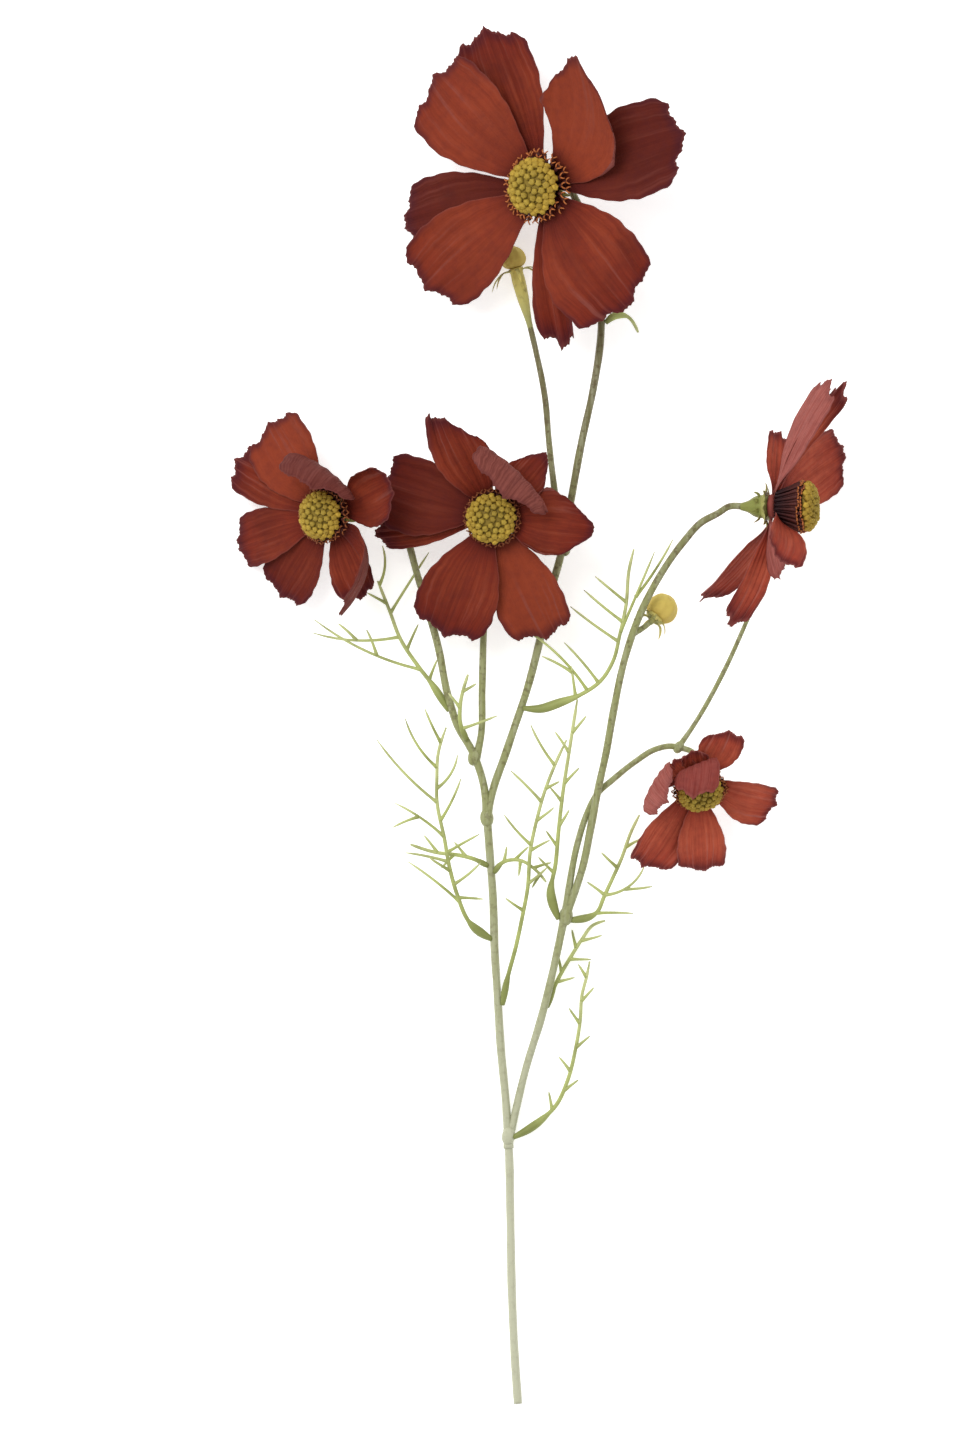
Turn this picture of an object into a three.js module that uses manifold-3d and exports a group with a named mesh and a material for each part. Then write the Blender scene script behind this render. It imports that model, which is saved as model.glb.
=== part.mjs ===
// A cut spray of cosmos, lying on a flat surface: one branching stem with five open blooms, three
// buds and thread-like leaves. Millimetres; +Y runs up the stem, +Z up from the surface, and the
// origin is under the middle of the spray. The stem's lowest stretch and the lowest petals touch z = 0.
import * as THREE from 'three';
import { mergeVertices } from 'three/addons/utils/BufferGeometryUtils.js';
import Module from 'manifold-3d';

const wasm = await Module();
wasm.setup();

// ---- Driving dimensions (mm) ----
const GAP = 0.3; // air between two pieces that touch on the real flower
const BLADE = 0.7; // thickness of a petal
const STEM_R = 1.25; // radius of the lowest stem
const LYING_SIDES = 6; // the lowest stem has six sides, one of them flat on the surface
const STEM_LIE = STEM_R * Math.cos(Math.PI / LYING_SIDES); // height of the lowest stem's centre line
const CALYX_DEPTH = 9; // green cup, from the petals' hub down to the stalk
const CALYX_R = 3.4;
const HUB_DEPTH = 2.2; // disc that the eight petals grow from
const HUB_R = 4;
const COLLAR_FOOT = HUB_DEPTH + GAP; // the dark tubes stand on the hub
const DOME_RISE = 3.6; // height of the yellow disc above its rim

// ---- Blooms ----
// hub: where the petals meet; axis: the way the bloom faces; disc: radius of the yellow disc;
// rim: height of its edge over the hub. Petals are listed counterclockwise from the top:
// tip and via are measured from the hub (via pulls the petal's middle towards itself); whorl 0 lies
// behind whorl 1; turn and twist roll the blade about its length, in degrees; curl rolls its
// counterclockwise and its clockwise margin towards the viewer, in degrees, and roll does so only near
// the margin; bow arches it forward; skew lengthens the counterclockwise side of the tip and shortens
// the other, and point shortens both, as shares of the length; pleat folds the blade lengthwise.
const BLOOMS = {
  top: {
    hub: [2.5, 169.5, 25.35],
    axis: [-0.53, 0, 0.85],
    disc: 8.5,
    rim: 7.4,
    petals: [
      {
        tip: [-19.3, 49.6, -7], width: 25, whorl: 0, bow: 2, turn: 8, twist: 10, curl: [14, 16],
        roll: [20, 0], skew: 0.03,
      },
      {
        tip: [-35.5, 34.5, -9], width: 31, whorl: 1, bow: 8, turn: -2, twist: 0, curl: [20, 12],
        skew: -0.02,
      },
      { tip: [-44.5, -10.6, -24.15], width: 25, whorl: 0, bow: 4, turn: 4, twist: 0, curl: [10, 14] },
      {
        tip: [-38, -31, -13], width: 29, whorl: 1, bow: 7, turn: -10, twist: -4, curl: [12, 18],
        skew: -0.03,
      },
      { tip: [5.6, -50, -2], width: 16, whorl: 0, bow: 4, turn: 10, twist: 0, curl: [20, 24], pleat: 1 },
      {
        tip: [25.4, -37.6, 13], width: 36, whorl: 1, bow: 6, turn: -4, twist: 0, curl: [14, 10],
        pleat: 0.7, skew: -0.02,
      },
      {
        tip: [42.6, 15.2, 25], width: 31, whorl: 0, bow: 5, turn: 0, twist: -6, curl: [16, 14],
        skew: 0.03,
      },
      {
        tip: [10, 38.5, 32], via: [19.5, 13.5, 17], width: 36, whorl: 1, turn: -3, twist: -4, curl: [40, 8],
        skew: 0.16, point: 0.4,
      },
    ],
  },
  left: {
    hub: [-66, 65, 19.2],
    axis: [-0.53, -0.05, 0.85],
    disc: 7.2,
    rim: 6.6,
    petals: [
      { tip: [-19.8, 28.6, -7], width: 26, whorl: 1, bow: 4, turn: -4, twist: 0, curl: [16, 18] },
      { tip: [-30.5, 17, -14.5], width: 17, whorl: 0, bow: 2, turn: 8, twist: 0, curl: [30, 10] },
      { tip: [-29.9, -9.5, -18.1], width: 18, whorl: 1, bow: 4, turn: 4, twist: 0, curl: [14, 14] },
      { tip: [-16.4, -25.2, -12], width: 20, whorl: 0, bow: 3, turn: -4, twist: 0, curl: [16, 16] },
      { tip: [9.4, -26.2, 2], width: 15, whorl: 0, bow: 0, turn: -6, twist: 0, curl: [20, 26] },
      { tip: [3.6, -31, 14], via: [21, -11, 16], width: 18, whorl: 1, turn: 50, twist: 0, curl: [20, 40] },
      { tip: [19, 9, 24], width: 22, whorl: 0, bow: -5, turn: 0, twist: 0, curl: [40, 40], roll: [70, 0] },
      { tip: [-6.5, 9.2, 20], via: [1, 22, 10], width: 28, whorl: 1, turn: -6, twist: 0, curl: [22, 22] },
    ],
  },
  middle: {
    hub: [-14, 64.5, 26],
    axis: [-0.15, -0.12, 0.98],
    disc: 7.5,
    rim: 6.8,
    petals: [
      {
        tip: [-15.5, 30, 10], width: 19, whorl: 0, bow: 2, turn: 22, twist: 10, curl: [6, 30],
        skew: 0.3, point: 0.05,
      },
      { tip: [-35, 10, -6], width: 26, whorl: 1, bow: 6, turn: -4, twist: 0, curl: [12, 20] },
      { tip: [-37.5, -5.4, -11], width: 12, whorl: 0, bow: 3, turn: 0, twist: 0, curl: [10, 10] },
      { tip: [-16, -37, -8], width: 26, whorl: 1, bow: 6, turn: -4, twist: 0, curl: [16, 16] },
      { tip: [16.8, -37.8, -7], width: 23.5, whorl: 0, bow: 5, turn: 6, twist: 0, curl: [22, 18] },
      {
        tip: [31, -4.4, 5], width: 28, whorl: 1, bow: 4, turn: -6, twist: -8, curl: [14, 20],
        roll: [0, 110], point: 0.6,
      },
      {
        tip: [16, 19.4, 5], width: 18, whorl: 0, bow: 3, turn: 0, twist: 0, curl: [16, 24],
        roll: [0, 70], point: 0.55,
      },
      { tip: [3, 7, 19], via: [13.5, 22, 13], width: 31, whorl: 1, turn: -12, twist: 0, curl: [20, 20] },
    ],
  },
  right: {
    hub: [73.5, 67.5, 29.5],
    axis: [0.98, 0, 0.17],
    disc: 7.4,
    rim: 12.2,
    petals: [
      { tip: [18.6, 39, 8], width: 16, whorl: 1, bow: -4, turn: 32, twist: 6, curl: [24, 24] },
      { tip: [3.5, 23.5, -16], width: 13, whorl: 0, bow: 2, turn: -38, twist: 0, curl: [16, 16] },
      { tip: [24.2, 18, -28.4], width: 22, whorl: 1, bow: -2, turn: -8, twist: 0, curl: [14, 18] },
      { tip: [3, -22.5, 6], width: 14, whorl: 0, bow: -2, turn: -30, twist: 0, curl: [16, 16] },
      { tip: [-20.5, -29, -14], width: 17, whorl: 1, bow: 5, turn: 30, twist: 0, curl: [18, 18] },
      { tip: [-12, -37.2, -4], width: 10.5, whorl: 0, bow: 5, turn: 42, twist: 8, curl: [20, 16] },
      { tip: [3, -17, 20], width: 16, whorl: 1, bow: 6, turn: 42, twist: 0, curl: [30, 30] },
      { tip: [23.4, 38.4, 4], width: 10, whorl: 0, bow: -3, turn: -20, twist: -10, curl: [24, 40] },
    ],
  },
  lower: {
    hub: [51, -19.5, 19.5],
    axis: [0.12, -0.66, 0.74],
    disc: 6.7,
    rim: 6.4,
    petals: [
      { tip: [9.2, 15, 14], width: 14, whorl: 0, bow: 3, turn: 0, twist: -10, curl: [20, 24], skew: -0.1 },
      { tip: [-1.5, 9, 13], width: 9, whorl: 0, bow: 2, turn: 0, twist: 0, curl: [16, 16] },
      { tip: [-7.5, 6, 10], width: 10, whorl: 0, bow: 2, turn: 0, twist: 0, curl: [16, 16] },
      { tip: [-10.5, -6.5, 16], via: [-21, 3, 9], width: 20, whorl: 1, turn: 0, twist: 0, curl: [16, 16] },
      { tip: [-17, -27.6, -10], width: 17.5, whorl: 0, bow: 4, turn: -4, twist: 0, curl: [16, 16] },
      { tip: [1.3, -29, -12], width: 16, whorl: 1, bow: 4, turn: 4, twist: 0, curl: [18, 18] },
      { tip: [24.4, -8, -1], width: 21, whorl: 0, bow: 4, turn: 8, twist: 0, curl: [26, 20] },
      { tip: [-2, -5, 20], via: [0, 11, 19], width: 16, whorl: 1, turn: 0, twist: 0, curl: [16, 16] },
    ],
  },
};

// ---- Stem routes: hand-picked points [x, y, z] and the radius at each end of a stretch ----
const STEM_ROUTES = [
  {
    points: [
      [-6.5, -220, STEM_LIE], [-7.5, -205.5, STEM_LIE], [-8.5, -183, STEM_LIE], [-9, -157.5, STEM_LIE],
      [-9.5, -138, STEM_LIE], [-10, -132, STEM_LIE],
    ],
    radii: [STEM_R, STEM_R],
    sides: LYING_SIDES,
  },
  {
    points: [
      [-9.5, -138, STEM_LIE], [-10.5, -122, 2], [-12, -106, 3], [-13, -90, 4], [-14, -74, 5],
      [-14.5, -58, 6], [-15.5, -44, 7], [-16.5, -31, 8],
    ],
    radii: [STEM_R, 1.22],
  },
  {
    ends: 'left',
    points: [
      [-16.5, -32.5, 8], [-17.5, -21.5, 8.5], [-21, -11, 9.5], [-26, -2, 10], [-29, 7.5, 10.5],
      [-32, 22.5, 11], [-34.5, 32, 11], [-38.5, 45, 10.5], [-43, 60, 9.5], [-46.5, 67, 8.5],
      [-51.5, 69, 7.4], [-56, 67, 7],
    ],
    radii: [1.22, 1.05],
  },
  {
    ends: 'middle',
    points: [
      [-20, -13, 9.2], [-18.5, -6.5, 9.6], [-18, 9, 10], [-17.5, 28, 10.8], [-16.5, 44, 11],
      [-14.5, 56, 11],
    ],
    radii: [1.1, 1],
  },
  {
    ends: 'top',
    points: [
      [-16.5, -32.5, 8], [-14.5, -23, 8.5], [-10.5, -11.5, 9.5], [-8, -4, 10], [-3.5, 9.5, 11],
      [0.5, 25, 12], [4, 40.5, 12.6], [8, 55.5, 13], [10.5, 70, 13.3], [14, 89, 13.5],
      [17.5, 105, 13.5], [20, 122.5, 12.5], [20, 135.5, 11.5], [17.5, 150, 11], [14, 162, 12],
    ],
    radii: [1.2, 1.1],
  },
  {
    points: [[8, 54.5, 13], [6, 67, 12.5], [3.5, 87.5, 12], [2, 103.5, 11.5], [-1, 118.5, 11]],
    radii: [1, 0.9],
    ends: 'bud_top',
  },
  {
    points: [
      [-9.5, -136.5, STEM_LIE], [-8, -129.5, 2], [-4, -112.5, 3.3], [1, -96, 4.7], [5.5, -77.5, 6],
      [8.5, -63, 7],
    ],
    radii: [1.15, 1.22],
  },
  {
    ends: 'lower',
    points: [
      [8.5, -64, 7], [10, -53.5, 7.6], [12.5, -40.5, 8.6], [15.5, -31, 9.5], [19.5, -23.5, 10],
      [23.5, -20, 10.3], [31, -14, 10.3], [37.5, -10, 9.5], [42, -9, 8.8], [46, -9.6, 8.6],
    ],
    radii: [1.1, 0.85],
  },
  {
    ends: 'right',
    points: [
      [8.5, -64, 7], [11, -57.5, 8], [14, -48.5, 9.2], [17, -34, 11], [19.5, -21, 13],
      [21.5, -12, 14.2], [24, 2, 16], [27.5, 18.5, 18.5], [32, 32, 20.5], [38.5, 45, 23],
      [46.5, 56.5, 25.5], [52, 62.5, 27], [57.5, 65.5, 27.8],
    ],
    radii: [1.2, 1.05],
  },
  {
    ends: 'bud_back',
    points: [[45, -9.2, 8.6], [50, -2, 8.2], [59.5, 15, 7.4], [67, 31.5, 6.6], [72, 43, 6.1]],
    radii: [0.75, 0.65],
  },
  { ends: 'bud_side', points: [[30, 27, 19.5], [32, 28, 18.2], [34, 29.2, 17]], radii: [0.9, 0.8] },
];

// Swollen joints where the stem forks: [x, y, z, radius]
const JOINTS = [
  [-9.5, -134, 2.2, 2.2], [-16.5, -32, 8, 2.2], [-20.5, -12.5, 9.3, 2.1], [8.3, 54.5, 13, 2],
  [8.8, -63.5, 7, 2.3], [45, -9.3, 8.7, 1.6],
];

// ---- Buds: foot (where the stalk ends), centre of the ball, its radius and the swollen neck ----
const BUDS = {
  bud_top: { foot: [-2.4, 124.5, 10.6], centre: [-8, 147, 9.6], radius: 4, neck: 2.1, bract: 9 },
  bud_side: { foot: [35.6, 30.4, 16], centre: [39.4, 34.8, 13.4], radius: 5, neck: 1.2, bract: 5.5 },
  bud_back: { foot: [74.8, 48.4, 6], centre: [78.6, 56.4, 5.7], radius: 4.4, neck: 1.2, bract: 3.4 },
};

// ---- Leaves: the rachis's route, how far its clasping base swells, and its threads ----
// thread: [where along the rachis, angle to it (+ left, - right), length, bend, rise, forks...],
// fork: [where along the thread, angle, length]
const LEAVES = {
  leaf_low_left: {
    route: [
      [-15, -70.9, 6], [-22, -65.5, 9], [-26, -56.5, 10.5], [-28.5, -47.5, 11], [-30, -39, 11.5],
      [-32.5, -26, 12], [-32.5, -20, 12.5], [-32, -11, 13.5], [-29.5, -3, 15],
    ],
    base: { length: 10, width: 3.4 },
    threads: [
      [0.23, 28, 21, 18, -3], [0.37, 47, 8, 0, 3], [0.41, 62, 14, 3, -4],
      [0.52, 35, 19, 22, -2, [0.55, 50, 9]], [0.67, 47, 28, -22, -4], [0.82, 51, 19, -26, 2],
      [0.93, 46, 12, 0, 2], [0.59, -47, 15, 22, 3], [0.73, -55, 13, 45, 2], [0.31, -75, 11, 9, 3],
      [0.45, -68, 12, 0, -1], [0.25, -110, 8, 0, 3],
    ],
  },
  leaf_left: {
    route: [
      [-28.6, 2.3, 10.1], [-34.5, 11.5, 8.5], [-38, 16, 8], [-44.5, 26, 7.5], [-47.5, 34, 7], [-51.5, 44, 6.5],
    ],
    base: { length: 12, width: 3 },
    threads: [
      [0.34, 40, 38, -27, -4, [0.4, -52, 9]], [0.6, 76, 28, -33, -3, [0.5, -46, 8]], [0.84, 41, 7, 0, 1],
      [0.77, -52, 23, -4, -1], [0.97, -50, 13, 49, 0], [0.5, -55, 9, 0, -2], [0.25, -56, 7, 0, -2],
    ],
  },
  leaf_fork_left: {
    route: [[-22.8, -7.1, 11], [-25, -1.5, 13.5], [-25, 4, 14.5], [-22.5, 14, 15]],
    base: { length: 5, width: 2.4 },
    threads: [[0.2, -91, 12, -4, 2], [0.51, 40, 6, 0, 1], [0.75, -49, 5, 0, 1]],
  },
  leaf_centre: {
    route: [
      [-11.5, -92, 5], [-10, -84, 7], [-7, -72.5, 9], [-5, -63, 10.5], [-3.5, -55, 12], [-2.5, -42, 13.5],
      [-0.5, -32.5, 14.5], [2, -23.5, 15], [5.5, -14.5, 15], [9, -7, 15.5],
    ],
    base: { length: 10, width: 2.6 },
    threads: [
      [0.76, 57, 14, 0, 2], [0.9, 62, 15, -21, 1], [0.81, -44, 5, 0, 1], [0.69, -43, 7, 0, 2],
      [0.6, 59, 13, -14, 3], [0.58, -52, 7, 0, -1], [0.36, 70, 7, 0, 2], [0.46, -48, 8, 0, 2],
    ],
  },
  leaf_cross_right: {
    route: [[-14.1, -49.5, 7.4], [-11, -46, 10], [-6, -45.5, 11], [-1, -48.5, 11.6], [2.5, -52.5, 11.8]],
    base: { length: 4, width: 2.2 },
    threads: [
      [0.25, 51, 5, 0, 1], [0.42, 49, 6, 0, -1], [0.5, -80, 5, 0, -1], [0.72, 60, 6, 0, -1],
      [0.85, -70, 5, 0, -1],
    ],
  },
  leaf_cross_left: {
    route: [[-16.1, -47.4, 7.6], [-21, -45, 9], [-25, -44, 8.4], [-33, -43, 7], [-41, -40.5, 5]],
    base: { length: 4, width: 2.2 },
    threads: [[0.3, -40, 6, 0, 0], [0.45, 55, 6, 0, -2], [0.65, -45, 7, 0, -1]],
  },
  leaf_fork_right: {
    route: [
      [6.5, -64.5, 7.6], [4, -56, 8.4], [5.5, -47, 8.6], [6.5, -36, 9], [8, -23, 9.5], [10, -10, 10],
      [12.5, 6, 10.5],
    ],
    base: { length: 13, width: 3.6 },
    threads: [
      [0.22, 60, 7, 0, -2], [0.34, 44, 6, 0, -2], [0.43, -30, 6, 0, 1], [0.54, 46, 6, 0, -2],
      [0.62, -34, 7, 0, 0], [0.76, 40, 8, 0, -2], [0.85, -34, 7, 0, 1],
    ],
  },
  leaf_upper: {
    route: [
      [-5, 3.2, 12.2], [0.5, 3, 13], [7, 5, 13.6], [13.5, 7.5, 14], [20, 12, 14], [24, 18.5, 15],
      [26, 26.5, 16.5], [28, 36, 18], [29, 47.5, 19.5], [30.5, 54, 20],
    ],
    base: { length: 19, width: 3.6 },
    threads: [
      [0.25, 75, 10, 2, 2, [0.8, 48, 11]], [0.31, 92, 30, 35, 4], [0.37, 83, 17, 9, 3],
      [0.58, 68, 19, -13, -3], [0.67, 66, 16, -3, -3], [0.76, 58, 13, 1, -2],
      [0.62, -10, 28, 6, 7, [0.45, -16, 22]],
    ],
  },
  leaf_right: {
    route: [
      [9.6, -64.8, 6.6], [19, -62, 6], [21, -57.5, 5.4], [24, -51, 4.6], [26.5, -45.5, 3.8], [30, -36, 2.8],
      [32.5, -31, 2.2],
    ],
    base: { length: 9, width: 3 },
    threads: [
      [0.21, -39, 12, 0, -1], [0.36, -62, 17, 60, -1, [0.4, -30, 9]], [0.36, 76, 7, 0, 0], [0.58, 74, 7, 0, 0],
      [0.74, -40, 6, 0, -0.5],
    ],
  },
  leaf_low_right: {
    route: [
      [2.8, -92.8, 4.1], [5.5, -85.5, 2.6], [10.5, -76.5, 2], [14, -71, 1.8], [17.5, -66.5, 1.8], [21.5, -65, 1.8],
    ],
    base: { length: 7, width: 2.4 },
    threads: [
      [0.26, -53, 6, 0, 0], [0.5, -60, 7, 0, 0], [0.7, -45, 7, 0, 0], [0.36, 42, 6, 0, 0],
      [0.62, 48, 6, 0, 0],
    ],
  },
  leaf_foot: {
    route: [
      [-8, -134.5, 3.4], [-2.5, -131.5, 2.6], [1.5, -128.5, 2.2], [5.5, -124.5, 2], [9.5, -116, 2],
      [12, -106, 2.2], [13.5, -96.5, 2.6], [14, -89, 3], [15.5, -83, 3.2], [16.5, -78, 3.4],
    ],
    base: { length: 14, width: 3.2 },
    threads: [
      [0.24, 53, 6, 0, 1], [0.35, -31, 6, 0, 1], [0.45, 50, 6, 0, 1], [0.57, -40, 6, 0, 1],
      [0.69, 44, 6, 0, -1], [0.8, -40, 6, 0, 1], [0.92, 45, 5, 0, 0],
    ],
  },
  leaf_top: {
    route: [[21.5, 126.5, 12.2], [24.5, 128.8, 12.4], [28, 128.8, 12], [32, 123.5, 11]],
    base: { length: 8, width: 3 },
    threads: [],
  },
};

// ---- Finishes ----
const finish = (color, roughness) => new THREE.MeshStandardMaterial({ color, roughness, metalness: 0 });
const FINISHES = {
  petal: finish('#7a3226', 0.7),
  petal_pale: finish('#94473a', 0.7),
  disc: finish('#a99a44', 0.8),
  collar: finish('#34181a', 0.8),
  green: finish('#7d8148', 0.65),
  stem: finish('#878a5c', 0.65),
  leaf: finish('#b2bd74', 0.6),
  bud: finish('#b0a152', 0.7),
};

// ---- Solids ----
const vec = (p) => new THREE.Vector3(...p);

// A closed geometry as a solid that can be joined and cut
function solid(geometry) {
  const bare = geometry.clone();
  bare.deleteAttribute('normal');
  bare.deleteAttribute('uv');
  const merged = mergeVertices(bare, 1e-4);
  return new wasm.Manifold(new wasm.Mesh({
    numProp: 3,
    vertProperties: Float32Array.from(merged.attributes.position.array),
    triVerts: Uint32Array.from(merged.index.array),
  }));
}

const joined = (solids) => solids.reduce((sum, next) => sum.add(next));

// The largest body of a solid: what a cut has left loose is dropped
function largest(body) {
  return body.decompose().sort((a, b) => b.volume() - a.volume())[0];
}

function piece(name, body, material) {
  const { vertProperties, triVerts } = body.getMesh();
  const geometry = new THREE.BufferGeometry();
  geometry.setAttribute('position', new THREE.BufferAttribute(Float32Array.from(vertProperties), 3));
  geometry.setIndex(Array.from(triVerts));
  geometry.computeVertexNormals();
  const mesh = new THREE.Mesh(geometry, material);
  mesh.name = name;
  return mesh;
}

function fromTriangles(points, triangles) {
  const geometry = new THREE.BufferGeometry();
  geometry.setAttribute('position', new THREE.Float32BufferAttribute(points.flatMap((p) => p.toArray()), 3));
  geometry.setIndex(triangles.flat());
  return geometry;
}

// A tube of varying radius along a smooth route, with a ring at each of its points. The section is
// flattened by `flat` and carried along without twisting, starting with a flat side down
function tube({ route, radiusAt, sides, flat = 1 }) {
  const curve = new THREE.CatmullRomCurve3(route.map(vec), false, 'centripetal');
  const steps = route.length - 1;
  const points = [];
  const triangles = [];
  let up = new THREE.Vector3(0, 0, 1);
  for (let i = 0; i <= steps; i++) {
    const t = i / steps;
    const centre = curve.getPoint(t);
    const along = curve.getTangent(t);
    up = up.clone().addScaledVector(along, -up.dot(along)).normalize();
    const side = new THREE.Vector3().crossVectors(up, along);
    const radius = radiusAt(t);
    for (let k = 0; k < sides; k++) {
      const angle = ((k + 0.5) / sides) * 2 * Math.PI - Math.PI / 2;
      points.push(centre.clone()
        .addScaledVector(side, radius * Math.cos(angle))
        .addScaledVector(up, radius * flat * Math.sin(angle)));
    }
  }
  const at = (i, k) => i * sides + (k % sides);
  for (let i = 0; i < steps; i++) {
    for (let k = 0; k < sides; k++) {
      triangles.push([at(i, k), at(i, k + 1), at(i + 1, k + 1)], [at(i, k), at(i + 1, k + 1), at(i + 1, k)]);
    }
  }
  for (let k = 1; k < sides - 1; k++) {
    triangles.push([at(0, 0), at(0, k + 1), at(0, k)], [at(steps, 0), at(steps, k), at(steps, k + 1)]);
  }
  return fromTriangles(points, triangles);
}

// A blade with one thickness all over, round a grid of points on its middle surface
function blade(rows, thickness) {
  const last = rows.length - 1;
  const cols = rows[0].length;
  const normals = rows.map((row, i) => row.map((_, j) => {
    const along = rows[Math.min(last, i + 1)][j].clone().sub(rows[Math.max(0, i - 1)][j]);
    const across = row[Math.min(cols - 1, j + 1)].clone().sub(row[Math.max(0, j - 1)]);
    return along.cross(across).normalize().multiplyScalar(thickness / 2);
  }));
  const points = [1, -1].flatMap((sign) => rows.flatMap((row, i) => row.map(
    (p, j) => p.clone().addScaledVector(normals[i][j], sign),
  )));
  const at = (face, i, j) => face * rows.length * cols + i * cols + j;
  const triangles = [];
  const wall = (a, b) => {
    triangles.push([at(0, ...a), at(0, ...b), at(1, ...b)], [at(0, ...a), at(1, ...b), at(1, ...a)]);
  };
  for (let i = 0; i < last; i++) {
    for (let j = 0; j < cols - 1; j++) {
      for (const [a, b, c] of [[[i, j], [i + 1, j], [i + 1, j + 1]], [[i, j], [i + 1, j + 1], [i, j + 1]]]) {
        triangles.push([at(0, ...a), at(0, ...b), at(0, ...c)], [at(1, ...a), at(1, ...c), at(1, ...b)]);
      }
    }
    wall([i + 1, 0], [i, 0]);
    wall([i, cols - 1], [i + 1, cols - 1]);
  }
  for (let j = 0; j < cols - 1; j++) {
    wall([0, j], [0, j + 1]);
    wall([last, j + 1], [last, j]);
  }
  return fromTriangles(points, triangles);
}

// A profile of [radius, height] points turned about +Z
function turned(profile, sides) {
  const shape = new THREE.LatheGeometry(profile.map(([r, h]) => new THREE.Vector2(r, h)), sides);
  return shape.rotateX(Math.PI / 2);
}

// Carries a geometry made about +Z to a place and a direction
function aimed(geometry, origin, direction) {
  const up = new THREE.Vector3(0, 0, 1);
  const turn = new THREE.Quaternion().setFromUnitVectors(up, vec(direction).normalize());
  return geometry.applyQuaternion(turn).translate(...origin);
}

// ---- Petals ----
const SHORT_PETAL = 33; // petals shorter than this are made of one row less
const PETAL_COLS = 4;
const ROOT_R = 2.6; // ring that the petals' claws grow from
const WIDEST = 0.7; // share of the length where a petal is widest

function petalOutline(u) {
  if (u < WIDEST) return 0.09 + 0.91 * Math.sin((Math.PI / 2) * (u / WIDEST)) ** 1.2;
  return 1 - 0.14 * ((u - WIDEST) / (1 - WIDEST)) ** 2;
}

// The tip is rounded at its corners and cut into three blunt teeth
const tipReach = (v, { skew = 0, point = 0 }) => 1 - 0.15 * v ** 4 + 0.03 * Math.cos(2 * Math.PI * v)
  + skew * v - point * v * v;

// Where v lies in a section, as shares of its half width: [out from the midrib, forward]. The slope
// grows from the midrib by curl, and near the margin by roll; the steps of the section are added up.
function section(petal, v, u) {
  const side = v > 0 ? 0 : 1;
  const steps = 8;
  const at = [0, 0];
  for (let k = 0; k < steps; k++) {
    const across = (Math.abs(v) * (k + 0.5)) / steps;
    const roll = (petal.roll?.[side] ?? 0) * THREE.MathUtils.smoothstep(across, 0.45, 1.1);
    const slope = THREE.MathUtils.degToRad(petal.curl[side] * across + roll) * Math.min(1, 0.3 + u);
    at[0] += (v * Math.cos(slope)) / steps;
    at[1] += (Math.abs(v) * Math.sin(slope)) / steps;
  }
  return at;
}

function petalRows(bloom, petal, index) {
  const hub = vec(bloom.hub);
  const axis = vec(bloom.axis).normalize();
  const toTip = vec(petal.tip);
  const outward = toTip.clone().addScaledVector(axis, -toTip.dot(axis)).normalize();
  const root = hub.clone().addScaledVector(outward, ROOT_R).addScaledVector(axis, 0.6 + 0.95 * petal.whorl);
  const tip = hub.clone().add(toTip);
  const chord = tip.clone().sub(root);
  const pull = petal.via
    ? hub.clone().add(vec(petal.via))
    : root.clone().addScaledVector(chord, 0.5).addScaledVector(axis, petal.bow);
  const flatSide = new THREE.Vector3().crossVectors(axis, petal.via ? outward : chord).normalize();
  const steps = toTip.length() < SHORT_PETAL ? 3 : 4;
  const rows = [];
  for (let i = 0; i <= steps; i++) {
    const row = [];
    for (let j = 0; j <= PETAL_COLS; j++) {
      const v = (2 * j) / PETAL_COLS - 1;
      const share = i / steps;
      const u = share * (1 + (tipReach(v, petal) - 1) * share * share);
      const centre = root.clone().multiplyScalar((1 - u) ** 2)
        .addScaledVector(pull, 2 * u * (1 - u))
        .addScaledVector(tip, u * u);
      const along = pull.clone().sub(root).multiplyScalar(1 - u)
        .addScaledVector(tip.clone().sub(pull), u)
        .normalize();
      const lean = THREE.MathUtils.degToRad(petal.turn * Math.min(1, 3 * u) + petal.twist * u);
      const side = flatSide.clone().addScaledVector(along, -flatSide.dot(along)).normalize()
        .applyAxisAngle(along, lean);
      const face = new THREE.Vector3().crossVectors(along, side);
      const half = (petal.width / 2) * petalOutline(u);
      const [out, forward] = section(petal, v, u);
      const pleat = (petal.pleat ?? 0) * 0.9 * u * Math.cos(2 * Math.PI * v);
      const ripple = 0.8 * u * v * v * Math.sin(7 * u + 2 * index);
      row.push(centre
        .addScaledVector(side, half * out)
        .addScaledVector(face, half * forward + pleat + ripple));
    }
    rows.push(row);
  }
  return rows;
}

// Everything that the disc fills, with air round it, so that no petal runs through it
function discRoom(bloom) {
  const profile = [
    [0, HUB_DEPTH], [3.6, HUB_DEPTH], [bloom.disc + 0.6, bloom.rim - 2.8],
    [bloom.disc + 2.2, bloom.rim - 0.6], [bloom.disc + 2.2, bloom.rim + 1.6], [0, bloom.rim + DOME_RISE + 2],
  ];
  return solid(aimed(turned(profile, 20), bloom.hub, bloom.axis));
}

function bloomPetals(bloom) {
  const hub = turned([[0, 0], [HUB_R, 0], [HUB_R, HUB_DEPTH], [0, HUB_DEPTH]], 8);
  const petals = bloom.petals.map((petal, index) => solid(blade(petalRows(bloom, petal, index), BLADE)));
  const whole = joined([solid(aimed(hub, bloom.hub, bloom.axis)), ...petals]);
  return largest(whole.subtract(discRoom(bloom)));
}

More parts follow.
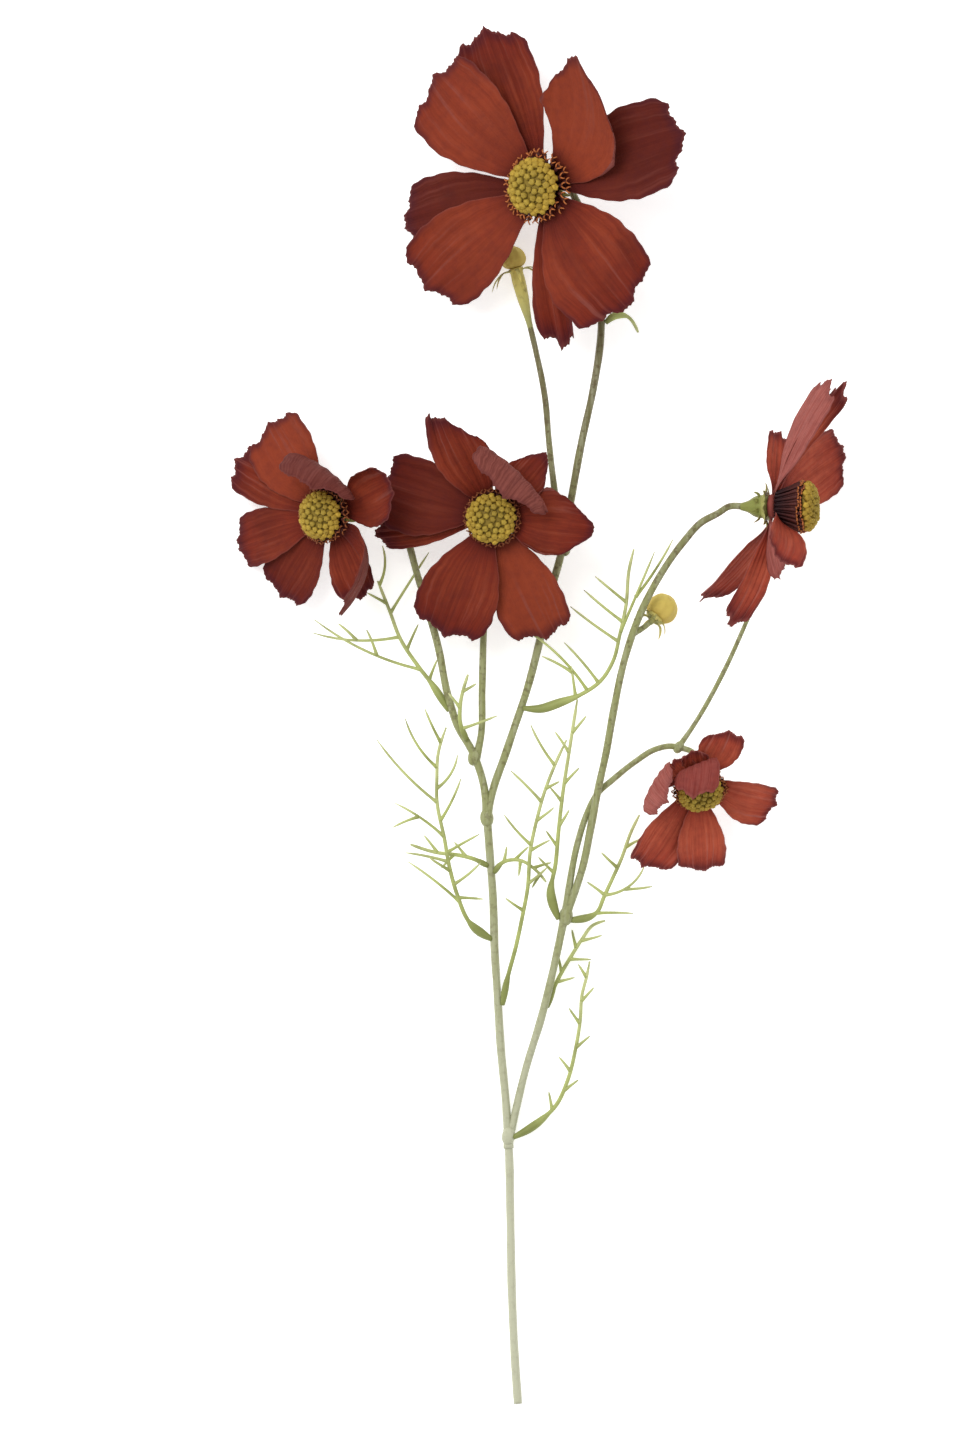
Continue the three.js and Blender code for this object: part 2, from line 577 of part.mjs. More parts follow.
// ---- The middle of a bloom ----
// Dark tubes: a ribbed cup under the disc, with the curled tips of the outer florets round its edge
function bloomCollar(bloom) {
  const ribs = 9;
  const top = bloom.rim - GAP;
  const points = [];
  const rings = [
    [3.1, COLLAR_FOOT], [3.7, COLLAR_FOOT + 1.6], [bloom.disc - 0.3, top - 1.6], [bloom.disc, top],
  ];
  for (const [radius, height] of rings) {
    for (let k = 0; k < 2 * ribs; k++) {
      const angle = (k / ribs) * Math.PI;
      const r = radius - (k % 2 ? 0.45 : 0);
      points.push(new THREE.Vector3(r * Math.cos(angle), r * Math.sin(angle), height));
    }
  }
  const foot = points.push(new THREE.Vector3(0, 0, COLLAR_FOOT)) - 1;
  const lid = points.push(new THREE.Vector3(0, 0, top)) - 1;
  const at = (i, k) => i * 2 * ribs + (k % (2 * ribs));
  const triangles = [];
  for (let k = 0; k < 2 * ribs; k++) {
    for (let i = 0; i < rings.length - 1; i++) {
      triangles.push([at(i, k), at(i, k + 1), at(i + 1, k + 1)], [at(i, k), at(i + 1, k + 1), at(i + 1, k)]);
    }
    const last = rings.length - 1;
    triangles.push([foot, at(0, k + 1), at(0, k)], [lid, at(last, k), at(last, k + 1)]);
  }
  const cup = solid(aimed(fromTriangles(points, triangles), bloom.hub, bloom.axis));
  const hooks = [];
  const count = 8;
  for (let k = 0; k < count; k++) {
    const angle = ((k + 0.5) / count) * 2 * Math.PI;
    const out = (r, h) => [r * Math.cos(angle), r * Math.sin(angle), h];
    const route = [out(bloom.disc - 1.4, top - 2.4), out(bloom.disc + 1.5, top + 0.1)];
    const hook = tube({ route, radiusAt: (t) => 0.75 - 0.35 * t, sides: 3 });
    hooks.push(solid(aimed(hook, bloom.hub, bloom.axis)));
  }
  return joined([cup, ...hooks]);
}

// Yellow disc: a low dome whose florets are a raised net of bumps
function bloomDisc(bloom) {
  const rings = 4;
  const spokes = 20;
  const points = [new THREE.Vector3(0, 0, bloom.rim + DOME_RISE)];
  for (let i = 1; i <= rings; i++) {
    for (let k = 0; k < spokes; k++) {
      const slope = (i / rings) * (Math.PI / 2);
      const bump = i < rings && (i + k) % 2 ? 0.45 : 0;
      const angle = (k / spokes) * 2 * Math.PI;
      const r = (bloom.disc - 0.2 + bump) * Math.sin(slope);
      points.push(new THREE.Vector3(
        r * Math.cos(angle),
        r * Math.sin(angle),
        bloom.rim + (DOME_RISE + bump) * Math.cos(slope),
      ));
    }
  }
  const under = points.push(new THREE.Vector3(0, 0, bloom.rim)) - 1;
  const at = (i, k) => 1 + (i - 1) * spokes + (k % spokes);
  const triangles = [];
  for (let k = 0; k < spokes; k++) {
    triangles.push([0, at(1, k), at(1, k + 1)], [under, at(rings, k + 1), at(rings, k)]);
    for (let i = 1; i < rings; i++) {
      const [a, b, c, d] = [at(i, k), at(i + 1, k), at(i + 1, k + 1), at(i, k + 1)];
      triangles.push(...((i + k) % 2 ? [[a, b, d], [b, c, d]] : [[a, b, c], [a, c, d]]));
    }
  }
  return solid(aimed(fromTriangles(points, triangles), bloom.hub, bloom.axis));
}

// Slim bracts set round a ring: each leaves it outward and bends back towards the stalk
function bracts({ count, ring, height, reach, drop, radius }) {
  const made = [];
  for (let k = 0; k < count; k++) {
    const angle = ((k + 0.5) / count) * 2 * Math.PI;
    const out = (r, h) => [r * Math.cos(angle), r * Math.sin(angle), h];
    const route = [out(ring * 0.4, height), out(ring + reach, height - drop)];
    made.push(tube({ route, radiusAt: (t) => radius * (1 - 0.6 * t), sides: 3 }));
  }
  return made;
}

// Green cup behind the petals, with its ring of bracts
function bloomCalyx(bloom) {
  const profile = [
    [0, -CALYX_DEPTH], [1.5, -CALYX_DEPTH], [CALYX_R, -4.6], [CALYX_R + 0.3, -2], [CALYX_R - 0.6, -GAP],
    [0, -GAP],
  ];
  const ring = bracts({ count: 8, ring: CALYX_R, height: -3.6, reach: 4.4, drop: 2.6, radius: 0.75 });
  return joined([turned(profile, 8), ...ring].map((g) => solid(aimed(g, bloom.hub, bloom.axis))));
}

// ---- Buds ----
function budParts(bud) {
  const foot = vec(bud.foot);
  const centre = vec(bud.centre);
  const axis = centre.clone().sub(foot).normalize();
  const reach = centre.distanceTo(foot);
  const seat = reach - 0.78 * bud.radius; // height of the bract ring over the foot
  const r = bud.radius;
  const ball = turned([
    [0, seat + GAP], [0.62 * r, seat + GAP], [0.96 * r, reach - 0.3 * r], [r, reach + 0.1 * r],
    [0.84 * r, reach + 0.6 * r], [0.42 * r, reach + 0.98 * r], [0, reach + 1.1 * r],
  ], 10);
  const neck = turned([
    [0, 0], [0.95, 0], [bud.neck, 0.55 * seat], [bud.neck, seat - 0.8], [0.6 * r, seat], [0, seat],
  ], 8);
  const ring = bracts({
    count: 6, ring: 0.5 * r, height: seat - 0.7, reach: 0.75 * bud.bract, drop: 0.5 * bud.bract, radius: 0.6,
  });
  const place = (g) => solid(aimed(g, bud.foot, axis.toArray()));
  return { ball: place(ball), cup: joined([neck, ...ring].map(place)) };
}

// ---- Stem ----
// Where a stretch ends under a bloom or a bud, two more points lead it straight into the calyx
function routeWithEnd({ points, ends }) {
  if (BUDS[ends]) {
    const foot = vec(BUDS[ends].foot);
    const away = foot.clone().sub(vec(BUDS[ends].centre)).normalize();
    return [...points, foot.addScaledVector(away, GAP).toArray()];
  }
  if (!BLOOMS[ends]) return points;
  const { hub, axis } = BLOOMS[ends];
  const along = vec(axis).normalize();
  const back = (distance) => vec(hub).addScaledVector(along, -distance).toArray();
  return [...points, back(CALYX_DEPTH + 4), back(CALYX_DEPTH + GAP)];
}

// The whole branching stem, or, grown by GAP all round, the room that it takes among the leaves
function stemSolid(grow) {
  const stretches = STEM_ROUTES.map((stretch) => {
    const route = routeWithEnd(stretch);
    const [from, to] = stretch.radii;
    return solid(tube({ route, radiusAt: (t) => from + (to - from) * t + grow, sides: stretch.sides ?? 5 }));
  });
  const joints = JOINTS.map(([x, y, z, r]) => (
    solid(new THREE.IcosahedronGeometry(r + grow, 0).translate(x, y, z))
  ));
  return joined([...stretches, ...joints]);
}

// ---- Leaves ----
const rotateInPlan = (direction, degrees) => direction.clone()
  .applyAxisAngle(new THREE.Vector3(0, 0, 1), THREE.MathUtils.degToRad(degrees));

// A thread that leaves `start` in plan direction `heading` and bends evenly as it goes
function threadRoute(start, heading, length, bend, rise) {
  const route = [start.clone()];
  const pieces = length > 12 ? 3 : 1;
  for (let i = 0; i < pieces; i++) {
    const step = rotateInPlan(heading, (bend * (i + 0.5)) / pieces).multiplyScalar(length / pieces);
    route.push(route[i].clone().add(step).add(new THREE.Vector3(0, 0, rise / pieces)));
  }
  return route.map((p) => p.setZ(Math.max(p.z, 0.9)).toArray());
}

function leafSolid({ route, base, threads }, stemRoom) {
  const curve = new THREE.CatmullRomCurve3(route.map(vec), false, 'centripetal');
  const length = curve.getLength();
  const swell = (t) => Math.sin(Math.PI * Math.min(1, (t * length) / base.length)) * (base.width / 2 - 0.8);
  const rachis = tube({
    route,
    radiusAt: (t) => 0.8 - 0.25 * t + Math.max(0, swell(t)),
    sides: 4,
  });
  const slim = (points) => tube({ route: points, radiusAt: (t) => 0.7 - 0.22 * t, sides: 3 });
  const parts = [rachis];
  for (const [at, angle, reach, bend, rise, ...forks] of threads) {
    const start = curve.getPointAt(at);
    const heading = curve.getTangentAt(at).setZ(0).normalize();
    const thread = threadRoute(start, rotateInPlan(heading, angle), reach, bend, rise);
    parts.push(slim(thread));
    for (const [share, turn, forkReach] of forks) {
      const carrier = new THREE.CatmullRomCurve3(thread.map(vec), false, 'centripetal');
      const way = carrier.getTangentAt(share).setZ(0).normalize();
      parts.push(slim(threadRoute(carrier.getPointAt(share), rotateInPlan(way, turn), forkReach, 0, 0)));
    }
  }
  return largest(joined(parts.map(solid)).subtract(stemRoom));
}

// ---- The spray ----
const spray = new THREE.Group();
const add = (name, body, material) => spray.add(piece(name, body, material));

const stemRoom = stemSolid(GAP);
add('stem', stemSolid(0), FINISHES.stem);
for (const [name, leaf] of Object.entries(LEAVES)) add(name, leafSolid(leaf, stemRoom), FINISHES.leaf);
for (const [name, bloom] of Object.entries(BLOOMS)) {
  const pale = name === 'right' || name === 'lower';
  add(`petals_${name}`, bloomPetals(bloom), pale ? FINISHES.petal_pale : FINISHES.petal);
  add(`collar_${name}`, bloomCollar(bloom), FINISHES.collar);
  add(`disc_${name}`, bloomDisc(bloom), FINISHES.disc);
  add(`calyx_${name}`, bloomCalyx(bloom), FINISHES.green);
}
for (const [name, bud] of Object.entries(BUDS)) {
  const { ball, cup } = budParts(bud);
  add(name, ball, FINISHES.bud);
  add(`${name}_bracts`, cup, FINISHES.green);
}

export default spray;
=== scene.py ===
"""Cosmos flower spray: the visible surfaces and their finishes, built over the CAD frame.

Lengths in the tables are millimetres in the frame's own axes: +Y up the stem, +Z up from the surface.
"""

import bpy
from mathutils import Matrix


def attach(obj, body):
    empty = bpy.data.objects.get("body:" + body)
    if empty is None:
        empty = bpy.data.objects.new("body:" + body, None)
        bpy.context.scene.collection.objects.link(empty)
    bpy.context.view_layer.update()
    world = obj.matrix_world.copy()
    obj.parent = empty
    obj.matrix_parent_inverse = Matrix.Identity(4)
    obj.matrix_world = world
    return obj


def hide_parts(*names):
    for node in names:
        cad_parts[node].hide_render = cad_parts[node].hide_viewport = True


bl_info = {
    "name": "Cosmos flower spray",
    "version": (1, 0, 0),
    "blender": (4, 5, 0),
    "location": "3D View > Sidebar > Cosmos",
    "description": "Builds a cut spray of cosmos with open blooms, buds and thread-like leaves",
    "category": "Object",
}

import bpy
import numpy as np

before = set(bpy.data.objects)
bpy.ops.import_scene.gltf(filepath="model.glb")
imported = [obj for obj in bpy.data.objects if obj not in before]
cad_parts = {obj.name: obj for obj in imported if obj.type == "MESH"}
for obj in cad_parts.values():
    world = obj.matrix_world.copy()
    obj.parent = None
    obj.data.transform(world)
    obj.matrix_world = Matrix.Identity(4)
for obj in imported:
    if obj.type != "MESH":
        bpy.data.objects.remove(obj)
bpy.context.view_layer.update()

MM = 0.001
GAP = 0.3  # air between a bud's ball and its neck
SEAT = 0.6  # how far a stalk runs into the cup or neck it carries
STEM_R = 1.25  # radius of the lowest stem
LYING_SIDES = 6  # sides of the lowest stem's solid, which lies on one of them
STEM_LIE = round(STEM_R * np.cos(np.pi / LYING_SIDES), 3)  # height of its centre line
CALYX_DEPTH = 9.0  # from a bloom's hub back to the foot of its cup
ROOT_R = 2.6  # how far from the axis a petal starts
WIDEST = 0.7  # where along a petal it is widest
PETAL_GRID = (44, 56)  # steps along a petal and across it
DOME_RISE = 3.6  # height of the disc's dome over its rim
GOLDEN_ANGLE = 137.508  # degrees between one floret and the next
LOWEST_THREAD = 0.75  # centre line of a thread that lies on the surface
# The collar's two rows: radius and height of the tubes' feet, how far the mouths lean out, and their drop
TUBE_ROWS = [(4.6, 2.4, 1.9, 1.9), (4.0, 2.7, 0.7, 0.9)]


# hue_and_light sets a petal's tone: partly its own hue, partly painted light and shade that lifts the whole
# petal toward the lit colour or sinks it toward the deep one.
def petal(tip, width, whorl, bow=4, turn=0, twist=0, curl=(16, 16), roll=(0, 0), via=None,
          pleat=0.0, skew=0.0, point=0.0, hue_and_light=0.0):
    """One petal: where its tip is from the hub, its width, and how its blade is rolled."""
    return dict(tip=tip, width=width, whorl=whorl, bow=bow, turn=turn, twist=twist, curl=curl, roll=roll,
                via=via, pleat=pleat, skew=skew, point=point, hue_and_light=hue_and_light)


# ---- Blooms ----
# hub: where the petals meet; axis: the way the bloom faces; disc: radius of the yellow disc; rim:
# height of its edge over the hub; flare: how far the dark tubes spread; tan: how tan their tips are;
# bract: length of the outer bracts. Petals run counterclockwise from the top. curl and roll are the
# turning, in degrees, of the counterclockwise and clockwise margins: curl evenly, roll at the edge.
BLOOMS = {
    "top": dict(
        hub=[2.5, 169.5, 25.35], axis=[-0.53, 0, 0.85], disc=8.5, rim=7.4, flare=1.0, tan=1.0, bract=3.2,
        petals=[
            petal([-19.3, 49.6, -7], 25, 0, bow=2, turn=8, twist=10, curl=(14, 16), roll=(20, 0), skew=0.03),
            petal([-35.5, 34.5, -9], 31, 1, bow=8, turn=-2, curl=(20, 12), skew=-0.02, hue_and_light=0.35),
            petal([-44.5, -10.6, -24.15], 25, 0, turn=4, curl=(10, 14), hue_and_light=-0.75),
            petal([-38, -31, -13], 29, 1, bow=7, turn=-10, twist=-4, curl=(12, 18), skew=-0.03, hue_and_light=0.25),
            petal([5.6, -50, -2], 16, 0, turn=10, curl=(20, 24), pleat=1),
            petal([25.4, -37.6, 13], 36, 1, bow=6, turn=-4, curl=(14, 10), pleat=0.7, skew=-0.02, hue_and_light=0.2),
            petal([42.6, 15.2, 25], 31, 0, bow=5, twist=-6, curl=(16, 14), skew=0.03, hue_and_light=-0.75),
            petal([10, 38.5, 32], 36, 1, via=[19.5, 13.5, 17], turn=-3, twist=-4, curl=(40, 8), skew=0.16,
                  point=0.4, hue_and_light=0.6),
        ]),
    "left": dict(
        hub=[-66, 65, 19.2], axis=[-0.53, -0.05, 0.85], disc=7.2, rim=6.6, flare=0.5, tan=0.55, bract=3.2,
        petals=[
            petal([-19.8, 28.6, -7], 26, 1, turn=-4, curl=(16, 18), hue_and_light=0.7),
            petal([-30.5, 17, -14.5], 17, 0, bow=2, turn=8, curl=(30, 10), hue_and_light=0.1),
            petal([-29.9, -9.5, -18.1], 18, 1, turn=4, curl=(14, 14)),
            petal([-16.4, -25.2, -12], 20, 0, bow=3, turn=-4, hue_and_light=-0.5),
            petal([9.4, -26.2, 2], 15, 0, bow=0, turn=-6, curl=(20, 26)),
            petal([3.6, -31, 14], 18, 1, via=[21, -11, 16], turn=50, curl=(20, 40)),
            petal([19, 9, 24], 22, 0, bow=-5, curl=(40, 40), roll=(70, 0)),
            petal([-6.5, 9.2, 20], 28, 1, via=[1, 22, 10], turn=-6, curl=(22, 22), hue_and_light=-0.8),
        ]),
    "middle": dict(
        hub=[-14, 64.5, 26], axis=[-0.15, -0.12, 0.98], disc=7.5, rim=6.8, flare=0.45, tan=0.45, bract=3.2,
        petals=[
            petal([-15.5, 30, 10], 19, 0, bow=2, turn=22, twist=10, curl=(6, 30), skew=0.3, point=0.05),
            petal([-35, 10, -6], 26, 1, bow=6, turn=-4, curl=(12, 20), hue_and_light=-0.7),
            petal([-37.5, -5.4, -11], 12, 0, bow=3, curl=(10, 10)),
            petal([-16, -37, -8], 26, 1, bow=6, turn=-4, hue_and_light=-0.3),
            petal([16.8, -37.8, -7], 23.5, 0, bow=5, turn=6, curl=(22, 18), hue_and_light=0.9),
            petal([31, -4.4, 5], 28, 1, turn=-6, twist=-8, curl=(14, 20), roll=(0, 110), point=0.6),
            petal([16, 19.4, 5], 18, 0, bow=3, curl=(16, 24), roll=(0, 70), point=0.55),
            petal([3, 7, 19], 31, 1, via=[13.5, 22, 13], turn=-12, curl=(20, 20)),
        ]),
    "right": dict(
        hub=[73.5, 67.5, 29.5], axis=[0.98, 0, 0.17], disc=7.4, rim=12.2, flare=0.2, tan=1.0, bract=1.8,
        petals=[
            petal([18.6, 39, 8], 16, 1, bow=-4, turn=32, twist=6, curl=(24, 24)),
            petal([3.5, 23.5, -16], 13, 0, bow=2, turn=-38),
            petal([24.2, 18, -28.4], 22, 1, bow=-2, turn=-8, curl=(14, 18)),
            petal([3, -22.5, 6], 14, 0, bow=-2, turn=-30),
            petal([-20.5, -29, -14], 17, 1, bow=5, turn=30, curl=(18, 18), hue_and_light=-0.2),
            petal([-12, -37.2, -4], 10.5, 0, bow=5, turn=42, twist=8, curl=(20, 16)),
            petal([3, -17, 20], 16, 1, bow=6, turn=42, curl=(30, 30), hue_and_light=-0.5),
            petal([23.4, 38.4, 4], 10, 0, bow=-3, turn=-20, twist=-10, curl=(24, 40)),
        ]),
    "lower": dict(
        hub=[51, -19.5, 19.5], axis=[0.12, -0.66, 0.74], disc=6.7, rim=6.4, flare=0.6, tan=0.8, bract=3.0,
        petals=[
            petal([9.2, 15, 14], 14, 0, bow=3, twist=-10, curl=(20, 24), skew=-0.1),
            petal([-1.5, 9, 13], 9, 0, bow=2),
            petal([-7.5, 6, 10], 10, 0, bow=2),
            petal([-10.5, -6.5, 16], 20, 1, via=[-21, 3, 9], hue_and_light=-0.2),
            petal([-17, -27.6, -10], 17.5, 0, turn=-4),
            petal([1.3, -29, -12], 16, 1, turn=4, curl=(18, 18)),
            petal([24.4, -8, -1], 21, 0, turn=8, curl=(26, 20)),
            petal([-2, -5, 20], 16, 1, via=[0, 11, 19], hue_and_light=-0.9),
        ]),
}
FADED = ("right", "lower")  # the blooms with faded petals
VIEW_CENTRE = (-0.019, -0.0006)  # middle of the picture, in metres
VIEW_PLANE = 0.015  # height at which the picture has its stated size, in metres

# ---- Stem ----
# Each stretch has points [x, y, z], the radius at its start and its end, and the bloom or bud it ends in.
# The lying stretch touches the surface.
STEM_ROUTES = [
    dict(lying=True, radii=(STEM_R, STEM_R), points=[
        [-6.5, -220, STEM_LIE], [-7.5, -205.5, STEM_LIE], [-8.5, -183, STEM_LIE], [-9, -157.5, STEM_LIE],
        [-9.5, -138, STEM_LIE], [-10, -132, STEM_LIE],
    ]),
    dict(radii=(STEM_R, 1.22), points=[
        [-9.5, -138, STEM_LIE], [-10.5, -122, 2], [-12, -106, 3], [-13, -90, 4], [-14, -74, 5],
        [-14.5, -58, 6], [-15.5, -44, 7], [-16.5, -31, 8],
    ]),
    dict(ends="left", radii=(1.22, 1.05), points=[
        [-16.5, -32.5, 8], [-17.5, -21.5, 8.5], [-21, -11, 9.5], [-26, -2, 10], [-29, 7.5, 10.5],
        [-32, 22.5, 11], [-34.5, 32, 11], [-38.5, 45, 10.5], [-43, 60, 9.5], [-46.5, 67, 8.5],
        [-51.5, 69, 7.4], [-56, 67, 7],
    ]),
    dict(ends="middle", radii=(1.1, 1), points=[
        [-20, -13, 9.2], [-18.5, -6.5, 9.6], [-18, 9, 10], [-17.5, 28, 10.8], [-16.5, 44, 11],
        [-14.5, 56, 11],
    ]),
    dict(ends="top", radii=(1.2, 1.1), points=[
        [-16.5, -32.5, 8], [-14.5, -23, 8.5], [-10.5, -11.5, 9.5], [-8, -4, 10], [-3.5, 9.5, 11],
        [0.5, 25, 12], [4, 40.5, 12.6], [8, 55.5, 13], [10.5, 70, 13.3], [14, 89, 13.5], [17.5, 105, 13.5],
        [20, 122.5, 12.5], [20, 135.5, 11.5], [17.5, 150, 11], [14, 162, 12],
    ]),
    dict(ends="bud_top", radii=(1, 0.9), points=[
        [8, 54.5, 13], [6, 67, 12.5], [3.5, 87.5, 12], [2, 103.5, 11.5], [-1, 118.5, 11],
    ]),
    dict(radii=(1.15, 1.22), points=[
        [-9.5, -136.5, STEM_LIE], [-8, -129.5, 2], [-4, -112.5, 3.3], [1, -96, 4.7], [5.5, -77.5, 6],
        [8.5, -63, 7],
    ]),
    dict(ends="lower", radii=(1.1, 0.85), points=[
        [8.5, -64, 7], [10, -53.5, 7.6], [12.5, -40.5, 8.6], [15.5, -31, 9.5], [19.5, -23.5, 10],
        [23.5, -20, 10.3], [31, -14, 10.3], [37.5, -10, 9.5], [42, -9, 8.8], [46, -9.6, 8.6],
    ]),
    dict(ends="right", radii=(1.2, 1.05), points=[
        [8.5, -64, 7], [11, -57.5, 8], [14, -48.5, 9.2], [17, -34, 11], [19.5, -21, 13], [21.5, -12, 14.2],
        [24, 2, 16], [27.5, 18.5, 18.5], [32, 32, 20.5], [38.5, 45, 23], [46.5, 56.5, 25.5], [52, 62.5, 27],
        [57.5, 65.5, 27.8],
    ]),
    dict(ends="bud_back", radii=(0.75, 0.65), points=[
        [45, -9.2, 8.6], [50, -2, 8.2], [59.5, 15, 7.4], [67, 31.5, 6.6], [72, 43, 6.1],
    ]),
    dict(ends="bud_side", radii=(0.9, 0.8), points=[
        [30, 27, 19.5], [32, 28, 18.2], [34, 29.2, 17],
    ]),
]

# Swollen joints where the stem forks: [x, y, z, radius]
JOINTS = [
    [-9.5, -134, 2.2, 2.2], [-16.5, -32, 8, 2.2], [-20.5, -12.5, 9.3, 2.1], [8.3, 54.5, 13, 2],
    [8.8, -63.5, 7, 2.3], [45, -9.3, 8.7, 1.6],
]

# ---- Buds ----
# foot: where the stalk ends; centre and radius: the closed ball; neck: the radius of the swelling under
# it; bract: its bracts reach out by three quarters of this and droop by half of it.
BUDS = {
    "bud_top": dict(foot=[-2.4, 124.5, 10.6], centre=[-8, 147, 9.6], radius=4, neck=2.1, bract=9),
    "bud_side": dict(foot=[35.6, 30.4, 16], centre=[39.4, 34.8, 13.4], radius=5, neck=1.2, bract=5.5),
    "bud_back": dict(foot=[74.8, 48.4, 6], centre=[78.6, 56.4, 5.7], radius=4.4, neck=1.2, bract=3.4),
}

# ---- Leaves ----
# swell: how far the clasping base reaches and its width; route: the rachis. A thread is [where along
# the rachis, angle to it (+ left, - right), length, bend, rise, forks...], a fork is [where along the
# thread, angle, length].
LEAVES = {
    "leaf_low_left": dict(swell=(10, 3.4), route=[
        [-15, -70.9, 6], [-22, -65.5, 9], [-26, -56.5, 10.5], [-28.5, -47.5, 11], [-30, -39, 11.5],
        [-32.5, -26, 12], [-32.5, -20, 12.5], [-32, -11, 13.5], [-29.5, -3, 15],
    ], threads=[
        [0.23, 28, 21, 18, -3], [0.37, 47, 8, 0, 3], [0.41, 62, 14, 3, -4],
        [0.52, 35, 19, 22, -2, [0.55, 50, 9]], [0.67, 47, 28, -22, -4], [0.82, 51, 19, -26, 2],
        [0.93, 46, 12, 0, 2], [0.59, -47, 15, 22, 3], [0.73, -55, 13, 45, 2], [0.31, -75, 11, 9, 3],
        [0.45, -68, 12, 0, -1], [0.25, -110, 8, 0, 3],
    ]),
    "leaf_left": dict(swell=(12, 3), route=[
        [-28.6, 2.3, 10.1], [-34.5, 11.5, 8.5], [-38, 16, 8], [-44.5, 26, 7.5], [-47.5, 34, 7],
        [-51.5, 44, 6.5],
    ], threads=[
        [0.34, 40, 38, -27, -4, [0.4, -52, 9]], [0.6, 76, 28, -33, -3, [0.5, -46, 8]], [0.84, 41, 7, 0, 1],
        [0.77, -52, 23, -4, -1], [0.97, -50, 13, 49, 0], [0.5, -55, 9, 0, -2], [0.25, -56, 7, 0, -2],
    ]),
    "leaf_fork_left": dict(swell=(5, 2.4), route=[
        [-22.8, -7.1, 11], [-25, -1.5, 13.5], [-25, 4, 14.5], [-22.5, 14, 15],
    ], threads=[
        [0.2, -91, 12, -4, 2], [0.51, 40, 6, 0, 1], [0.75, -49, 5, 0, 1],
    ]),
    "leaf_centre": dict(swell=(10, 2.6), route=[
        [-11.5, -92, 5], [-10, -84, 7], [-7, -72.5, 9], [-5, -63, 10.5], [-3.5, -55, 12], [-2.5, -42, 13.5],
        [-0.5, -32.5, 14.5], [2, -23.5, 15], [5.5, -14.5, 15], [9, -7, 15.5],
    ], threads=[
        [0.76, 57, 14, 0, 2], [0.9, 62, 15, -21, 1], [0.81, -44, 5, 0, 1], [0.69, -43, 7, 0, 2],
        [0.6, 59, 13, -14, 3], [0.58, -52, 7, 0, -1], [0.36, 70, 7, 0, 2], [0.46, -48, 8, 0, 2],
    ]),
    "leaf_cross_right": dict(swell=(4, 2.2), route=[
        [-14.1, -49.5, 7.4], [-11, -46, 10], [-6, -45.5, 11], [-1, -48.5, 11.6], [2.5, -52.5, 11.8],
    ], threads=[
        [0.25, 51, 5, 0, 1], [0.42, 49, 6, 0, -1], [0.5, -80, 5, 0, -1], [0.72, 60, 6, 0, -1],
        [0.85, -70, 5, 0, -1],
    ]),
    "leaf_cross_left": dict(swell=(4, 2.2), route=[
        [-16.1, -47.4, 7.6], [-21, -45, 9], [-25, -44, 8.4], [-33, -43, 7], [-41, -40.5, 5],
    ], threads=[
        [0.3, -40, 6, 0, 0], [0.45, 55, 6, 0, -2], [0.65, -45, 7, 0, -1],
    ]),
    "leaf_fork_right": dict(swell=(13, 3.6), route=[
        [6.5, -64.5, 7.6], [4, -56, 8.4], [5.5, -47, 8.6], [6.5, -36, 9], [8, -23, 9.5], [10, -10, 10],
        [12.5, 6, 10.5],
    ], threads=[
        [0.22, 60, 7, 0, -2], [0.34, 44, 6, 0, -2], [0.43, -30, 6, 0, 1], [0.54, 46, 6, 0, -2],
        [0.62, -34, 7, 0, 0], [0.76, 40, 8, 0, -2], [0.85, -34, 7, 0, 1],
    ]),
    "leaf_upper": dict(swell=(19, 3.6), route=[
        [-5, 3.2, 12.2], [0.5, 3, 13], [7, 5, 13.6], [13.5, 7.5, 14], [20, 12, 14], [24, 18.5, 15],
        [26, 26.5, 16.5], [28, 36, 18], [29, 47.5, 19.5], [30.5, 54, 20],
    ], threads=[
        [0.25, 75, 10, 2, 2, [0.8, 48, 11]], [0.31, 92, 30, 35, 4], [0.37, 83, 17, 9, 3],
        [0.58, 68, 19, -13, -3], [0.67, 66, 16, -3, -3], [0.76, 58, 13, 1, -2],
        [0.62, -10, 28, 6, 7, [0.45, -16, 22]],
    ]),
    "leaf_right": dict(swell=(9, 3), route=[
        [9.6, -64.8, 6.6], [19, -62, 6], [21, -57.5, 5.4], [24, -51, 4.6], [26.5, -45.5, 3.8],
        [30, -36, 2.8], [32.5, -31, 2.2],
    ], threads=[
        [0.21, -39, 12, 0, -1], [0.36, -62, 17, 60, -1, [0.4, -30, 9]], [0.36, 76, 7, 0, 0],
        [0.58, 74, 7, 0, 0], [0.74, -40, 6, 0, -0.5],
    ]),
    "leaf_low_right": dict(swell=(7, 2.4), route=[
        [2.8, -92.8, 4.1], [5.5, -85.5, 2.6], [10.5, -76.5, 2], [14, -71, 1.8], [17.5, -66.5, 1.8],
        [21.5, -65, 1.8],
    ], threads=[
        [0.26, -53, 6, 0, 0], [0.5, -60, 7, 0, 0], [0.7, -45, 7, 0, 0], [0.36, 42, 6, 0, 0],
        [0.62, 48, 6, 0, 0],
    ]),
    "leaf_foot": dict(swell=(14, 3.2), route=[
        [-8, -134.5, 3.4], [-2.5, -131.5, 2.6], [1.5, -128.5, 2.2], [5.5, -124.5, 2], [9.5, -116, 2],
        [12, -106, 2.2], [13.5, -96.5, 2.6], [14, -89, 3], [15.5, -83, 3.2], [16.5, -78, 3.4],
    ], threads=[
        [0.24, 53, 6, 0, 1], [0.35, -31, 6, 0, 1], [0.45, 50, 6, 0, 1], [0.57, -40, 6, 0, 1],
        [0.69, 44, 6, 0, -1], [0.8, -40, 6, 0, 1], [0.92, 45, 5, 0, 0],
    ]),
    "leaf_top": dict(swell=(8, 3), route=[
        [21.5, 126.5, 12.2], [24.5, 128.8, 12.4], [28, 128.8, 12], [32, 123.5, 11],
    ], threads=[]),
}


# ---- Grids and curves ----
def unit(v):
    """Vectors brought to length one."""
    return v / np.linalg.norm(v, axis=-1, keepdims=True)


